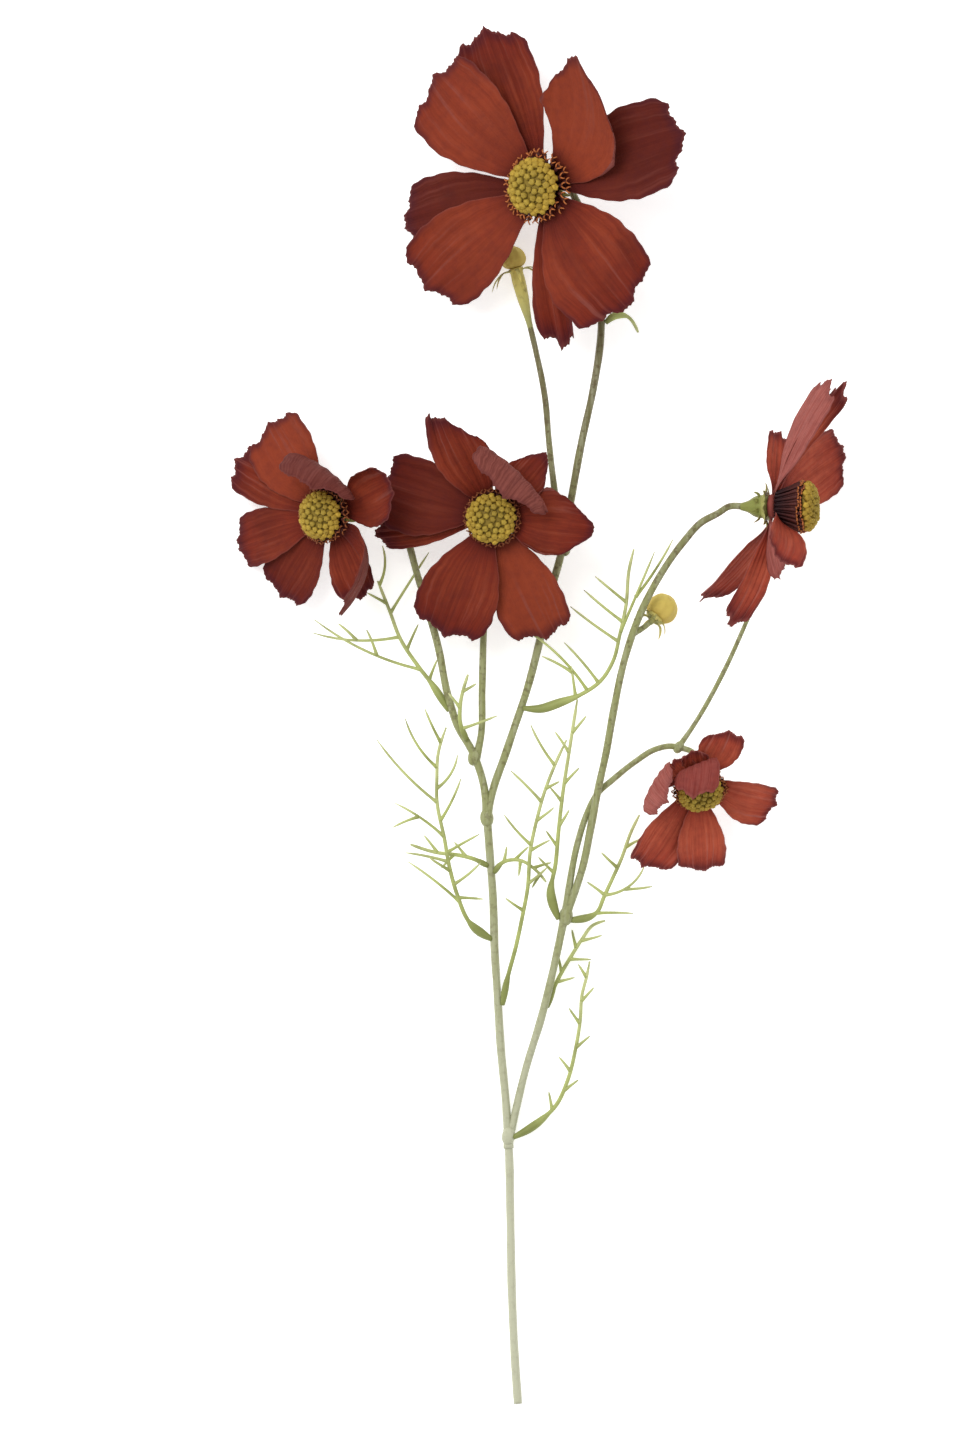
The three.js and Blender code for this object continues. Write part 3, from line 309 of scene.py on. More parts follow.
def scatter(count, seed):
    """Repeatable numbers from 0 to 1: the fraction left by a large multiple of a sine."""
    return np.abs(np.sin(np.arange(count) * 12.9898 + seed * 78.233) * 43758.5453) % 1.0


def smooth_step(value, low, high):
    """0 below low and 1 above high, joined by a cubic."""
    t = np.clip((value - low) / (high - low), 0, 1)
    return t * t * (3 - 2 * t)


class Surfaces:
    """Patches gathered into one mesh, each point with marks that its finish reads."""

    MARKS = ("along", "across", "side", "tone", "rim")

    def __init__(self):
        self.points, self.faces, self.marks, self.count = [], [], [], 0

    def add(self, points, faces, **marks):
        """Adds points (n, 3) and lists of faces that number them from 0."""
        flat = points.reshape(-1, 3)
        table = np.zeros((len(flat), len(self.MARKS)))
        for name, values in marks.items():
            table[:, self.MARKS.index(name)] = np.broadcast_to(values, points.shape[:-1]).ravel()
        self.points.append(flat)
        self.marks.append(table)
        self.faces += [(np.asarray(block) + self.count) for block in faces]
        self.count += len(flat)

    def build(self, name, material, nodes):
        """Makes the object, in metres, that stands for the given CAD nodes."""
        points = np.concatenate(self.points) * MM
        points[:, 2] = np.maximum(points[:, 2], 0.0)  # what lies on the surface is flat where it touches
        marks = np.concatenate(self.marks)
        mesh = bpy.data.meshes.new(name)
        mesh.from_pydata(points.tolist(), [], [face for block in self.faces for face in block.tolist()])
        mesh.polygons.foreach_set("use_smooth", np.ones(len(mesh.polygons), bool))
        for column, mark in enumerate(self.MARKS):
            layer = mesh.attributes.new(mark, "FLOAT", "POINT")
            layer.data.foreach_set("value", marks[:, column].astype(np.float32))
        mesh.materials.append(material)
        mesh.update()
        piece = bpy.data.objects.new(name, mesh)
        bpy.context.scene.collection.objects.link(piece)
        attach(piece, "root")
        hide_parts(*nodes)
        return piece


def strip_faces(rows, cols, wrap, start=0):
    """Quads between neighbouring points of a grid, numbered row by row; wrap joins last to first."""
    i = np.arange(rows - 1)[:, None]
    j = np.arange(cols if wrap else cols - 1)[None, :]
    k = (j + 1) % cols
    quads = np.stack([i * cols + j, i * cols + k, (i + 1) * cols + k, (i + 1) * cols + j], axis=-1)
    return start + quads.reshape(-1, 4)


def closed_rings(rings):
    """A grid of rings (n, m, 3) closed by a pole at the middle of each end ring: quads, and a fan of
    triangles at each pole. The rings run against the clock seen from the last one."""
    n, m = rings.shape[:2]
    points = np.concatenate([rings.reshape(-1, 3), rings[0].mean(0)[None], rings[-1].mean(0)[None]])
    j = np.arange(m)
    k = (j + 1) % m
    low = np.stack([np.full(m, n * m), k, j], axis=-1)
    high = np.stack([np.full(m, n * m + 1), (n - 1) * m + j, (n - 1) * m + k], axis=-1)
    return points, [strip_faces(n, m, True), low, high]


def even_round(shares, around):
    """One value for each ring, the same all round it and at the pole that closes it."""
    return np.concatenate([np.repeat(shares, around), shares[[0, -1]]])


def angles_round(count):
    """Even steps once round, from 0."""
    return np.arange(count) * 2 * np.pi / count


def ring_grid(radius, height):
    """Rings about +Z: a grid of radii, one row for each ring, and the rings' heights."""
    a = angles_round(radius.shape[1])
    level = np.broadcast_to(height[:, None], radius.shape)
    return np.stack([radius * np.cos(a), radius * np.sin(a), level], axis=-1)


def frame_on(direction):
    """Two unit vectors square to a direction, and the direction: the turn that carries +Z there."""
    d = unit(np.asarray(direction, float))
    helper = np.where(np.abs(d[..., 2:3]) < 0.9, [0.0, 0.0, 1.0], [0.0, 1.0, 0.0])
    e = unit(np.cross(helper, d))
    return e, np.cross(d, e), d


def aim(points, origin, direction):
    """Carries points made about +Z to a place and a direction."""
    e, f, d = frame_on(direction)
    return np.asarray(origin, float) + points[..., :1] * e + points[..., 1:2] * f + points[..., 2:] * d


def turned(profile, around, ribs=0, depth=0.0, twist=0.0):
    """A profile of (radius, height) turned about +Z. ribs raises that many ridges of the given depth,
    a cosine round the axis, and twist leans them by that many turns from foot to top."""
    r, h = np.asarray(profile, float).T
    share = np.linspace(0, 1, len(r))[:, None]
    a = angles_round(around)
    return ring_grid(r[:, None] * (1 + depth * np.cos(ribs * (a + 2 * np.pi * twist * share))), h)


def lathe(surfaces, profile, around, origin, direction, ribs=0, depth=0.0, twist=0.0, **marks):
    """A profile turned about a direction and closed at both ends. Unless it is given, the mark along
    runs evenly from 0 at the first ring to 1 at the last."""
    points, faces = closed_rings(turned(profile, around, ribs, depth, twist))
    marks.setdefault("along", even_round(np.linspace(0, 1, len(profile)), around))
    surfaces.add(aim(points, origin, direction), faces, **marks)


def spoke(axes, angle):
    """The unit vectors outward from an axis, and on round it, at an angle."""
    e, f, _ = axes
    return e * np.cos(angle) + f * np.sin(angle), f * np.cos(angle) - e * np.sin(angle)


def smooth_profile(points, count):
    """A profile drawn smoothly through the given (radius, height) points."""
    flat = np.concatenate([np.asarray(points, float), np.zeros((len(points), 1))], axis=1)
    return curve_through(flat, count)[0][:, :2]


def curve_through(points, count):
    """A smooth curve through points: a cubic over each stretch, whose slope at a point is the blend of
    the two chords that meet there, each weighed by the other's length. Returns places and directions."""
    p = np.asarray(points, float)
    chord = np.linalg.norm(np.diff(p, axis=0), axis=1)
    knots = np.concatenate([[0], np.cumsum(chord)])
    slope = np.diff(p, axis=0) / chord[:, None]
    inner = (slope[:-1] * chord[1:, None] + slope[1:] * chord[:-1, None]) / (chord[1:] + chord[:-1])[:, None]
    if len(inner) == 0:
        ends = np.repeat(slope, 2, axis=0)
    else:
        ends = np.concatenate([[1.5 * slope[0] - 0.5 * inner[0]], inner, [1.5 * slope[-1] - 0.5 * inner[-1]]])
    s = np.linspace(0, knots[-1], count)
    i = np.clip(np.searchsorted(knots, s, side="right") - 1, 0, len(chord) - 1)
    t = ((s - knots[i]) / chord[i])[:, None]
    h = chord[i][:, None]
    place = ((1 + 2 * t) * (1 - t) ** 2 * p[i] + t * (1 - t) ** 2 * h * ends[i]
             + t * t * (3 - 2 * t) * p[i + 1] + t * t * (t - 1) * h * ends[i + 1])
    return place, unit(np.gradient(place, axis=0)), knots[-1]


def carried_frames(along):
    """Side and up vectors carried along a curve without twisting. Each section starts from a frame
    that leans on the vertical; the angle between it and the one before it, once that is bent onto the
    new direction, is summed along the curve and turned back."""
    side, up, t = frame_on(along)
    axis = np.cross(t[:-1], t[1:])
    cosine = np.sum(t[:-1] * t[1:], -1, keepdims=True)
    bent = (side[:-1] * cosine + np.cross(axis, side[:-1])
            + axis * np.sum(axis * side[:-1], -1, keepdims=True) / (1 + cosine))
    angle = np.arctan2(np.sum(bent * up[1:], -1), np.sum(bent * side[1:], -1))
    total = np.concatenate([[0], np.cumsum(angle)])[:, None]
    return side * np.cos(total) + up * np.sin(total), up * np.cos(total) - side * np.sin(total)


def laid_across(place, side, up, out, rise):
    """Sections set across a curve: at each of its places, a row of points out to the side and up."""
    return place[:, None] + side[:, None] * out[..., None] + up[:, None] * rise[..., None]


def tube(surfaces, points, radius, sides, spacing, flat=1.0, ridges=0, depth=0.0, **marks):
    """A closed tube along a smooth curve. radius(share, length) gives its half width; the section is a
    circle flattened by flat and raised in ridges, a cosine round it; both ends close to a point."""
    length = np.linalg.norm(np.diff(np.asarray(points, float), axis=0), axis=1).sum()
    count = max(4, int(length / spacing) + 1)
    place, along, _ = curve_through(points, count)
    side, up = carried_frames(along)
    share = np.linspace(0, 1, count)
    a = angles_round(sides)
    r = radius(share, length)[:, None] * (1 + depth * np.cos(ridges * a))
    rings, faces = closed_rings(laid_across(place, side, up, r * np.cos(a), r * flat * np.sin(a)))
    surfaces.add(rings, faces, along=even_round(share, sides), **marks)


# ---- Petals ----
def petal_outline(u):
    """Half width, as a share of the widest: a quarter sine up to the widest place, then a parabola."""
    rise = 0.09 + 0.91 * np.sin(np.pi / 2 * np.clip(u / WIDEST, 0, 1)) ** 1.2
    return np.where(u < WIDEST, rise, 1 - 0.14 * (np.clip(u - WIDEST, 0, None) / (1 - WIDEST)) ** 2)


def tip_reach(v, index, teeth):
    """How far the tip reaches across its width: rounded corners, a long wave, and pointed teeth."""
    notch = np.abs(np.sin(np.pi * (2.6 * v + 0.31 * index)))
    small = np.abs(np.sin(np.pi * (8.3 * v + 0.47 * index)))
    return (1 - 0.15 * v ** 4 + 0.03 * np.cos(2 * np.pi * v)
            + teeth * (0.7 - notch) + 0.55 * teeth * (0.6 - small))


def running_sum(slopes, v, middle):
    """Integral across a section of its slopes, by trapezia, zero at the midrib."""
    steps = (slopes[:, 1:] + slopes[:, :-1]) / 2 * np.diff(v)
    total = np.concatenate([np.zeros((len(slopes), 1)), np.cumsum(steps, axis=1)], axis=1)
    return total - total[:, middle:middle + 1]


def petal_middle(bloom, shape, index, sizes):
    """Middle surface of a petal. Its midrib is the curve (1-u)^2 root + 2u(1-u) pull + u^2 tip. Across
    it, the section's slope angle grows from the midrib by curl times |v|, and by roll near the edge;
    the sums of its cosine and sine place the blade. Pleats, veins and ripples are cosines across it
    and sines along it, added square to the face. Returns the places, the shares along and across,
    and the distance to the rim."""
    rows, cols = PETAL_GRID
    hub = np.array(bloom["hub"], float)
    axis = unit(np.array(bloom["axis"], float))
    to_tip = np.array(shape["tip"], float)
    outward = unit(to_tip - axis * (to_tip @ axis))
    root = hub + outward * ROOT_R + axis * (0.6 + 0.95 * shape["whorl"])
    tip = hub + to_tip
    chord = tip - root
    if shape["via"] is None:
        pull, flat_side = root + chord / 2 + axis * shape["bow"], unit(np.cross(axis, chord))
    else:
        pull, flat_side = hub + np.array(shape["via"], float), unit(np.cross(axis, outward))
    v = np.linspace(-1, 1, cols + 1)
    share = np.linspace(0, 1, rows + 1)[:, None]
    reach = tip_reach(v, index, sizes.teeth) + shape["skew"] * v - shape["point"] * v ** 2
    u = share * (1 + (reach - 1) * share ** 2)
    u3 = u[..., None]
    centre = root * (1 - u3) ** 2 + pull * 2 * u3 * (1 - u3) + tip * u3 * u3
    along = unit((pull - root) * (1 - u3) + (tip - pull) * u3)
    turn = np.radians(shape["turn"] * np.minimum(1, 3 * u) + shape["twist"] * u)[..., None]
    level = unit(flat_side - along * np.sum(flat_side * along, -1, keepdims=True))
    side = level * np.cos(turn) + np.cross(along, level) * np.sin(turn)
    face = np.cross(along, side)
    waver = 1 + 0.012 * np.sin(31 * u + index) + 0.01 * np.sin(53 * u + 2 * index)
    half = shape["width"] / 2 * petal_outline(u) * waver
    curl, roll = (np.where(v > 0, *shape[margin]) for margin in ("curl", "roll"))
    bend = curl * np.abs(v) + roll * smooth_step(np.abs(v), 0.45, 1.1)
    slope = np.radians(bend * np.minimum(1, 0.3 + u)) * np.sign(v)
    out = running_sum(np.cos(slope), v, cols // 2)
    lift = running_sum(np.sin(slope), v, cols // 2)
    folds = (shape["pleat"] * 0.9 * u * np.cos(2 * np.pi * v)
             + sizes.furrow * np.minimum(1, 1.6 * u) * np.cos(5.2 * np.pi * v + 1.3 * index)
             * (1 + 0.8 * shape["pleat"])
             + 0.45 * sizes.furrow * u * np.cos(11.4 * np.pi * v + 2.1 * index)
             + 0.8 * u * v ** 2 * np.sin(7 * u + 2 * index)
             + 0.28 * u ** 3 * np.abs(v) ** 3 * np.sin(19 * u + 3 * index)
             + 0.4 * u ** 8 * np.sin(9.5 * v + 2.3 * index))
    rim = np.minimum(1 - np.abs(v), (1 - share) * 1.6) * half
    middle = centre + side * (half * out)[..., None] + face * (half * lift + folds)[..., None]
    middle[..., 2] = np.maximum(middle[..., 2], sizes.thickness / 2)  # a low tip lies flat on the surface
    return middle, share, v, rim


def thin_shell(surfaces, middle, thickness, along, across, rim, tone):
    """A closed blade round a middle surface: each point moved half the thickness along the normal, to
    the front and to the back, and the two sheets joined round the edge, where the blade thins."""
    normal = unit(np.cross(np.gradient(middle, axis=0), np.gradient(middle, axis=1)))
    half = (thickness / 2 * (0.35 + 0.65 * smooth_step(rim, 0, 1.2)))[..., None]
    rows, cols = middle.shape[:2]
    sheets = np.stack([middle + normal * half, middle - normal * half])
    front = strip_faces(rows, cols, False)[:, ::-1]
    back = strip_faces(rows, cols, False, rows * cols)
    grid = np.arange(rows * cols).reshape(rows, cols)
    edge = np.concatenate([grid[0, :-1], grid[:-1, -1], grid[-1, :0:-1], grid[:0:-1, 0]])
    after = np.roll(edge, -1)
    wall = np.stack([edge, after, after + rows * cols, edge + rows * cols], axis=-1)
    side = np.array([1.0, 0.0])[:, None, None]
    surfaces.add(sheets, [front, back, wall], side=side, along=along, across=across, rim=rim, tone=tone)


def petal_blades(surfaces, bloom, sizes):
    """A bloom's petals, on the small disc that they grow from: a profile turned about the axis."""
    hub = [(2.6, -0.2), (3.7, 0.1), (4.0, 1.0), (3.6, 1.9), (2.6, 2.2)]
    lathe(surfaces, hub, 24, bloom["hub"], bloom["axis"], along=0.02, side=1.0, tone=0.3)
    tones = 0.3 + 0.15 * scatter(8, bloom["disc"])
    for index, shape in enumerate(bloom["petals"]):
        middle, along, across, rim = petal_middle(bloom, shape, index, sizes)
        # tone: a random share plus hue_and_light; partly the petal's own hue, partly painted light and shade
        # on the whole petal
        tone = tones[index] + 0.5 * shape["hue_and_light"]
        thin_shell(surfaces, middle, sizes.thickness, along, across, rim, tone)


# ---- The middle of a bloom ----
def copies(template, faces, frames, origins, scales):
    """A small closed form set down many times: each copy is scaled, turned by its frame and moved."""
    e, f, d = frames
    points = (origins[:, None] + template[None, :, :1] * (e * scales[:, :1])[:, None]
              + template[None, :, 1:2] * (f * scales[:, 1:2])[:, None]
              + template[None, :, 2:] * (d * scales[:, 2:])[:, None])
    step = np.arange(len(origins))[:, None, None] * len(template)
    return points, [(block[None] + step).reshape(-1, block.shape[1]) for block in faces]


def floret_bud():
    """A closed floret about +Z, one unit wide: a rounded profile, pinched into five folds at its top."""
    r = np.array([0.38, 0.52, 0.46, 0.2])
    h = np.array([-0.7, 0.1, 0.5, 0.74])
    pinch = np.array([0, 0.05, 0.16, 0.3])[:, None] * np.cos(np.pi * np.arange(10))  # out and in by turns
    points, faces = closed_rings(ring_grid(r[:, None] * (1 + pinch), h))
    points[-1, 2] = 0.62  # the top is sunk between the folds
    return points, faces


def disc_florets(surfaces, bloom, sizes):
    """The yellow disc: closed florets at the golden angle, each at a radius that grows with the square
    root of its number, standing square to a low dome; a smooth dome closes the gaps under them."""
    disc, rim, count = bloom["disc"], bloom["rim"], sizes.florets
    number = np.arange(count)
    share = np.sqrt((number + 0.5) / count)
    angle = number * np.radians(GOLDEN_ANGLE)
    slope = share * np.radians(84)
    radius = (disc - 0.5) * np.sin(slope)
    height = rim - 0.3 + (DOME_RISE - 0.4) * np.cos(slope)
    place = np.stack([radius * np.cos(angle), radius * np.sin(angle), height], axis=-1)
    normal = unit(np.stack([np.cos(angle) * np.sin(slope) * 0.75, np.sin(angle) * np.sin(slope) * 0.75,
                            np.cos(slope) + 0.25], axis=-1))
    size = disc * np.sqrt(np.pi / count) * (1.14 + 0.2 * scatter(count, 3))
    size = size * (0.96 + 0.1 * smooth_step(share, 0.1, 0.8))
    tall = size * (0.8 + 0.3 * scatter(count, 5))
    template, faces = floret_bud()
    points, blocks = copies(template, faces, frame_on(normal), place, np.stack([size, size, tall], axis=-1))
    surfaces.add(aim(points, bloom["hub"], bloom["axis"]), blocks, tone=scatter(count, 9)[:, None],
                 along=smooth_step(template[:, 2], -0.2, 0.7)[None, :], side=share[:, None])
    s = np.linspace(0, np.pi / 2 - 0.05, 9)[::-1]
    dome = np.stack([(disc - 0.4) * np.sin(s), rim - 0.4 + (DOME_RISE - 0.5) * np.cos(s)], axis=-1)
    profile = [(disc - 2.0, rim - 1.0)] + dome.tolist()
    lathe(surfaces, profile, 36, bloom["hub"], bloom["axis"], tone=0.2, along=0.3, side=0.5)


def collar_tubes(surfaces, bloom, sizes):
    """The dark tubes under the disc's edge: a closed cone, then two rows of slim tubes leaning out over
    it, each widening to its mouth, with a pair of curled tips that taper evenly."""
    disc, top, flare, count = bloom["disc"], bloom["rim"] - 0.4, bloom["flare"], sizes.tubes
    cone = [(3.0, 2.5), (3.5, 2.7), (3.5 + 0.35 * (disc - 3.6), 2.7 + 0.4 * (top - 2.6)),
            (disc - 1.2, top - 1.4), (disc - 0.7, top - 0.5), (disc - 1.6, top)]
    lathe(surfaces, smooth_profile(cone, 14), 48, bloom["hub"], bloom["axis"], tone=0.25, along=0.2, side=0.0)
    hub, axes = np.array(bloom["hub"], float), frame_on(bloom["axis"])
    for row, (foot_r, foot_h, lean, drop) in enumerate(TUBE_ROWS):
        wobble = scatter(count, 11 + row)
        for k in range(count):
            out, around = spoke(axes, (k + 0.5 * row + 0.35 * (wobble[k] - 0.5)) / count * 2 * np.pi)
            end_r = disc + (lean + 0.7 * wobble[k]) * flare
            end_h = top - drop + 1.1 * wobble[(k * 7 + 3) % count]
            bend = (0.55 * foot_r + 0.45 * end_r, 0.5 * (foot_h + end_h) - 0.2)
            route = [hub + out * r + axes[2] * h for r, h in ((foot_r, foot_h), bend, (end_r, end_h))]
            tube(surfaces, route, lambda t, _: 0.45 + 0.22 * smooth_step(t, 0.55, 0.95), 7, 0.8,
                 tone=wobble[k], side=0.0)
            curl = (0.7 + 0.6 * wobble[k]) * (0.4 + 0.6 * flare)
            for way in (-1, 1):
                steps = [(-0.3, 0, 0), (0.45 * curl, 0.3, 0.3), (0.6 * curl, 0.9 * curl, 0.8),
                         (0.15 * curl, 1.3 * curl, 1.0)]
                hook = [route[-1] + axes[2] * rise + out * reach + around * way * apart
                        for rise, reach, apart in steps]
                tube(surfaces, hook, lambda t, _: 0.32 - 0.12 * t, 5, 0.45, tone=wobble[k], side=bloom["tan"])


def strap(surfaces, route, up, width, thickness, cup, tone):
    """A narrow leafy blade along a smooth route: its width swells and tapers as a sine raised to 0.7,
    and its section bends into a shallow trough, by the square of the way across."""
    place, along, _ = curve_through(route, 18)
    share = np.linspace(0.02, 1, 18)
    side = unit(np.cross(np.broadcast_to(up, along.shape), along))
    face = np.cross(along, side)
    v = np.linspace(-1, 1, 7)
    half = width / 2 * np.sin(np.pi * np.clip(0.18 + 0.82 * share, 0, 0.985)) ** 0.7
    half = half[:, None]
    middle = laid_across(place, side, face, half * v, cup * half * v ** 2)
    thin_shell(surfaces, middle, thickness, share[:, None], v, half * (1 - np.abs(v)), tone)


def bract_ring(surfaces, base, axis, count, ring, height, reach, drop, width, seed):
    """Outer bracts: straps that leave the cup outward and bend back towards the stalk."""
    axes, wobble = frame_on(axis), scatter(count, seed)
    for k in range(count):
        out, _ = spoke(axes, (k + 0.5 + 0.3 * (wobble[k] - 0.5)) / count * 2 * np.pi)
        span = reach * (0.8 + 0.35 * wobble[k])
        steps = [(0.55 * ring, height - 0.3), (ring + 0.3 * span, height + 0.2),
                 (ring + 0.7 * span, height - 0.35 * drop), (ring + span, height - drop)]
        route = [np.array(base, float) + out * r + axes[2] * h for r, h in steps]
        strap(surfaces, route, axes[2], width, 0.28, 0.35, wobble[k])


def calyx_cup(surfaces, bloom):
    """The green cup: a smooth profile turned about the axis, with eight shallow ribs, eight broad inner
    bracts pressed to the petals' backs, and a ring of slim outer bracts."""
    hub, axis, reach = np.array(bloom["hub"], float), bloom["axis"], bloom["bract"]
    profile = smooth_profile([(1.15, -9.1), (1.35, -8.2), (1.9, -6.6), (3.0, -4.8), (3.5, -3.2), (3.5, -1.6),
                              (3.1, -0.5), (2.4, -0.25)], 26)
    lathe(surfaces, profile, 48, hub, axis, ribs=8, depth=0.035, side=0.0, tone=0.5)
    axes = frame_on(axis)
    for k in range(8):
        out, _ = spoke(axes, (k + 0.1) / 8 * 2 * np.pi)
        route = [hub + out * r - axes[2] * h for r, h in [(2.6, 3.4), (3.9, 1.7), (5.6, 0.9), (7.6, 1.0)]]
        strap(surfaces, route, axes[2], 3.4, 0.25, 0.28, 0.9)
    bract_ring(surfaces, hub, axis, 8, 3.3, -3.4, reach, 0.75 * reach, 1.5, 21)


# ---- Stem, leaves and buds ----
def route_with_end(stretch):
    """A stretch's points, with those that lead it straight into the calyx or bud it carries."""
    ends, more = stretch.get("ends"), []
    if ends in BUDS:
        foot, centre = (np.array(BUDS[ends][key], float) for key in ("foot", "centre"))
        more = [foot - unit(foot - centre) * SEAT]
    elif ends in BLOOMS:
        hub, axis = (np.array(BLOOMS[ends][key], float) for key in ("hub", "axis"))
        more = [hub - unit(axis) * (CALYX_DEPTH + back) for back in (4, -SEAT)]
    return stretch["points"] + [point.tolist() for point in more]


def stem_tubes(surfaces):
    """The branching stem: ribbed tubes along their routes, tapering evenly and swelling where they meet
    a joint, and a rounded knot at each joint."""
    for number, stretch in enumerate(STEM_ROUTES):
        first, last = stretch["radii"]
        flare = 0.0 if stretch.get("lying") else 0.22

        def radius(t, length):
            wave = 0.03 * np.sin(t * length / 5.3 + number) + 0.018 * np.sin(t * length / 1.9 + 2 * number)
            return (first + (last - first) * t) * (1 + flare * np.exp(-(t * length / 3.2) ** 2) + wave)
        tube(surfaces, route_with_end(stretch), radius, 18, 1.0, ridges=6, depth=0.045, tone=0.5,
             side=number / 10)
    starts = [np.array(stretch["points"][:2], float) for stretch in STEM_ROUTES]
    s = np.linspace(0.08, np.pi - 0.08, 12)[::-1]
    for *place, r in JOINTS:
        knot = np.stack([r * 0.94 * np.sin(s) ** 0.9, 1.35 * r * np.cos(s)], axis=-1)
        first, second = min(starts, key=lambda start: np.linalg.norm(start[0] - place))
        lathe(surfaces, knot, 24, place, second - first, ribs=6, depth=0.04, tone=0.15, side=0.5, along=0.5)


def turned_in_plan(direction, degrees):
    """A level direction turned about the vertical, by one angle or by each of several."""
    c, s = np.cos(np.radians(degrees)), np.sin(np.radians(degrees))
    x, y, _ = direction
    return np.stack([x * c - y * s, x * s + y * c, 0 * c], axis=-1)


def spot_on(route, share, count):
    """A place on a smooth route, at a share of its length, and the level heading there."""
    place, along, _ = curve_through(route, count)
    i = int(share * (count - 1))
    return place[i], unit(along[i] * [1, 1, 0])


def thread_route(start, heading, length, bend, rise):
    """A thread in plan that bends evenly: each step turns by its share of the bend."""
    pieces = 5 if length > 12 else 3
    k = np.arange(pieces)
    steps = turned_in_plan(heading, bend * (k + 0.5) / pieces) * (length / pieces)
    path = np.cumsum(steps, axis=0)
    path[:, 2] = rise * (k + 1) / pieces
    path = np.concatenate([[start], start + path])
    path[:, 2] = np.maximum(path[:, 2], LOWEST_THREAD)
    return path


def leaf_threads(surfaces, leaf, seed):
    """A thread-like leaf: a slim flattened rachis whose base swells where it clasps the stem, threads
    that leave it at the listed angles, and forks on some of them, all tapering to a point."""
    swell_length, swell_width = leaf["swell"]

    def rachis(t, total):
        swell = np.sin(np.pi * np.clip(t * total / swell_length, 0, 1)) * (swell_width / 2 - 0.8)
        return 0.68 - 0.2 * t + 0.8 * np.maximum(0, swell) - 0.2 * smooth_step(t, 0.93, 1.0)

    def thread(t, total):
        return 0.5 - 0.15 * t - 0.2 * smooth_step(t, 0.8, 1.0) + 0.15 * np.exp(-(t * total / 1.6) ** 2)
    tube(surfaces, leaf["route"], rachis, 10, 1.0, flat=0.8, ridges=4, depth=0.06, tone=0.35, side=0.0)
    for number, (at, angle, reach, bend, rise, *forks) in enumerate(leaf["threads"]):
        start, heading = spot_on(leaf["route"], at, 200)
        wobble = scatter(1, seed * 31 + number)[0]
        path = thread_route(start, turned_in_plan(heading, angle), reach, bend + 16 * (wobble - 0.5), rise)
        tube(surfaces, path, thread, 8, 1.0, flat=0.75, tone=wobble, side=1.0)
        for share, turn, fork_reach in forks:
            start, heading = spot_on(path, share, 60)
            fork = thread_route(start, turned_in_plan(heading, turn), fork_reach, 12, 0)
            tube(surfaces, fork, thread, 8, 1.0, flat=0.75, tone=wobble, side=1.0)


def bud_form(bud):
    """A bud's foot, the way from it to the ball's centre, that distance, and where the neck ends."""
    foot = np.array(bud["foot"], float)
    way = np.array(bud["centre"], float) - foot
    reach = np.linalg.norm(way)
    return foot, way, reach, reach - 0.78 * bud["radius"]


def bud_ball(surfaces, bud):
    """A closed bud: a round profile with eight shallow folds that lean round it as they rise."""
    foot, way, reach, seat = bud_form(bud)
    r = bud["radius"]
    profile = [(0.5 * r, seat + GAP), (0.8 * r, seat + 0.25 * r), (0.98 * r, reach - 0.2 * r),
               (0.97 * r, reach + 0.25 * r), (0.74 * r, reach + 0.7 * r), (0.36 * r, reach + 0.98 * r),
               (0.08 * r, reach + 1.08 * r)]
    lathe(surfaces, smooth_profile(profile, 26), 64, foot, way, ribs=8, depth=0.035, twist=0.07, tone=0.5)


def bud_cup(surfaces, bud, seed):
    """The neck under a bud, a smooth swelling profile with ribs, and its ring of slim bracts."""
    foot, way, _, seat = bud_form(bud)
    r, neck, bract = bud["radius"], bud["neck"], bud["bract"]
    profile = [(0.85, 0.0), (0.95, 0.12 * seat), (neck * 0.85, 0.5 * seat), (neck, 0.8 * seat),
               (0.55 * r, seat - 0.5), (0.62 * r, seat), (0.3 * r, seat)]
    lathe(surfaces, smooth_profile(profile, 24), 32, foot, way, ribs=8, depth=0.04, side=0.0, tone=0.5)
    bract_ring(surfaces, foot, way, 6, 0.5 * r, seat - 0.8, 0.75 * bract, 0.5 * bract, 1.3, seed)


# ---- Finishes ----
def linear(red, green, blue):
    """A colour given from 0 to 255 as a screen shows it, turned into light."""
    c = np.array([red, green, blue]) / 255
    return tuple(np.where(c <= 0.04045, c / 12.92, ((c + 0.055) / 1.055) ** 2.4).tolist())


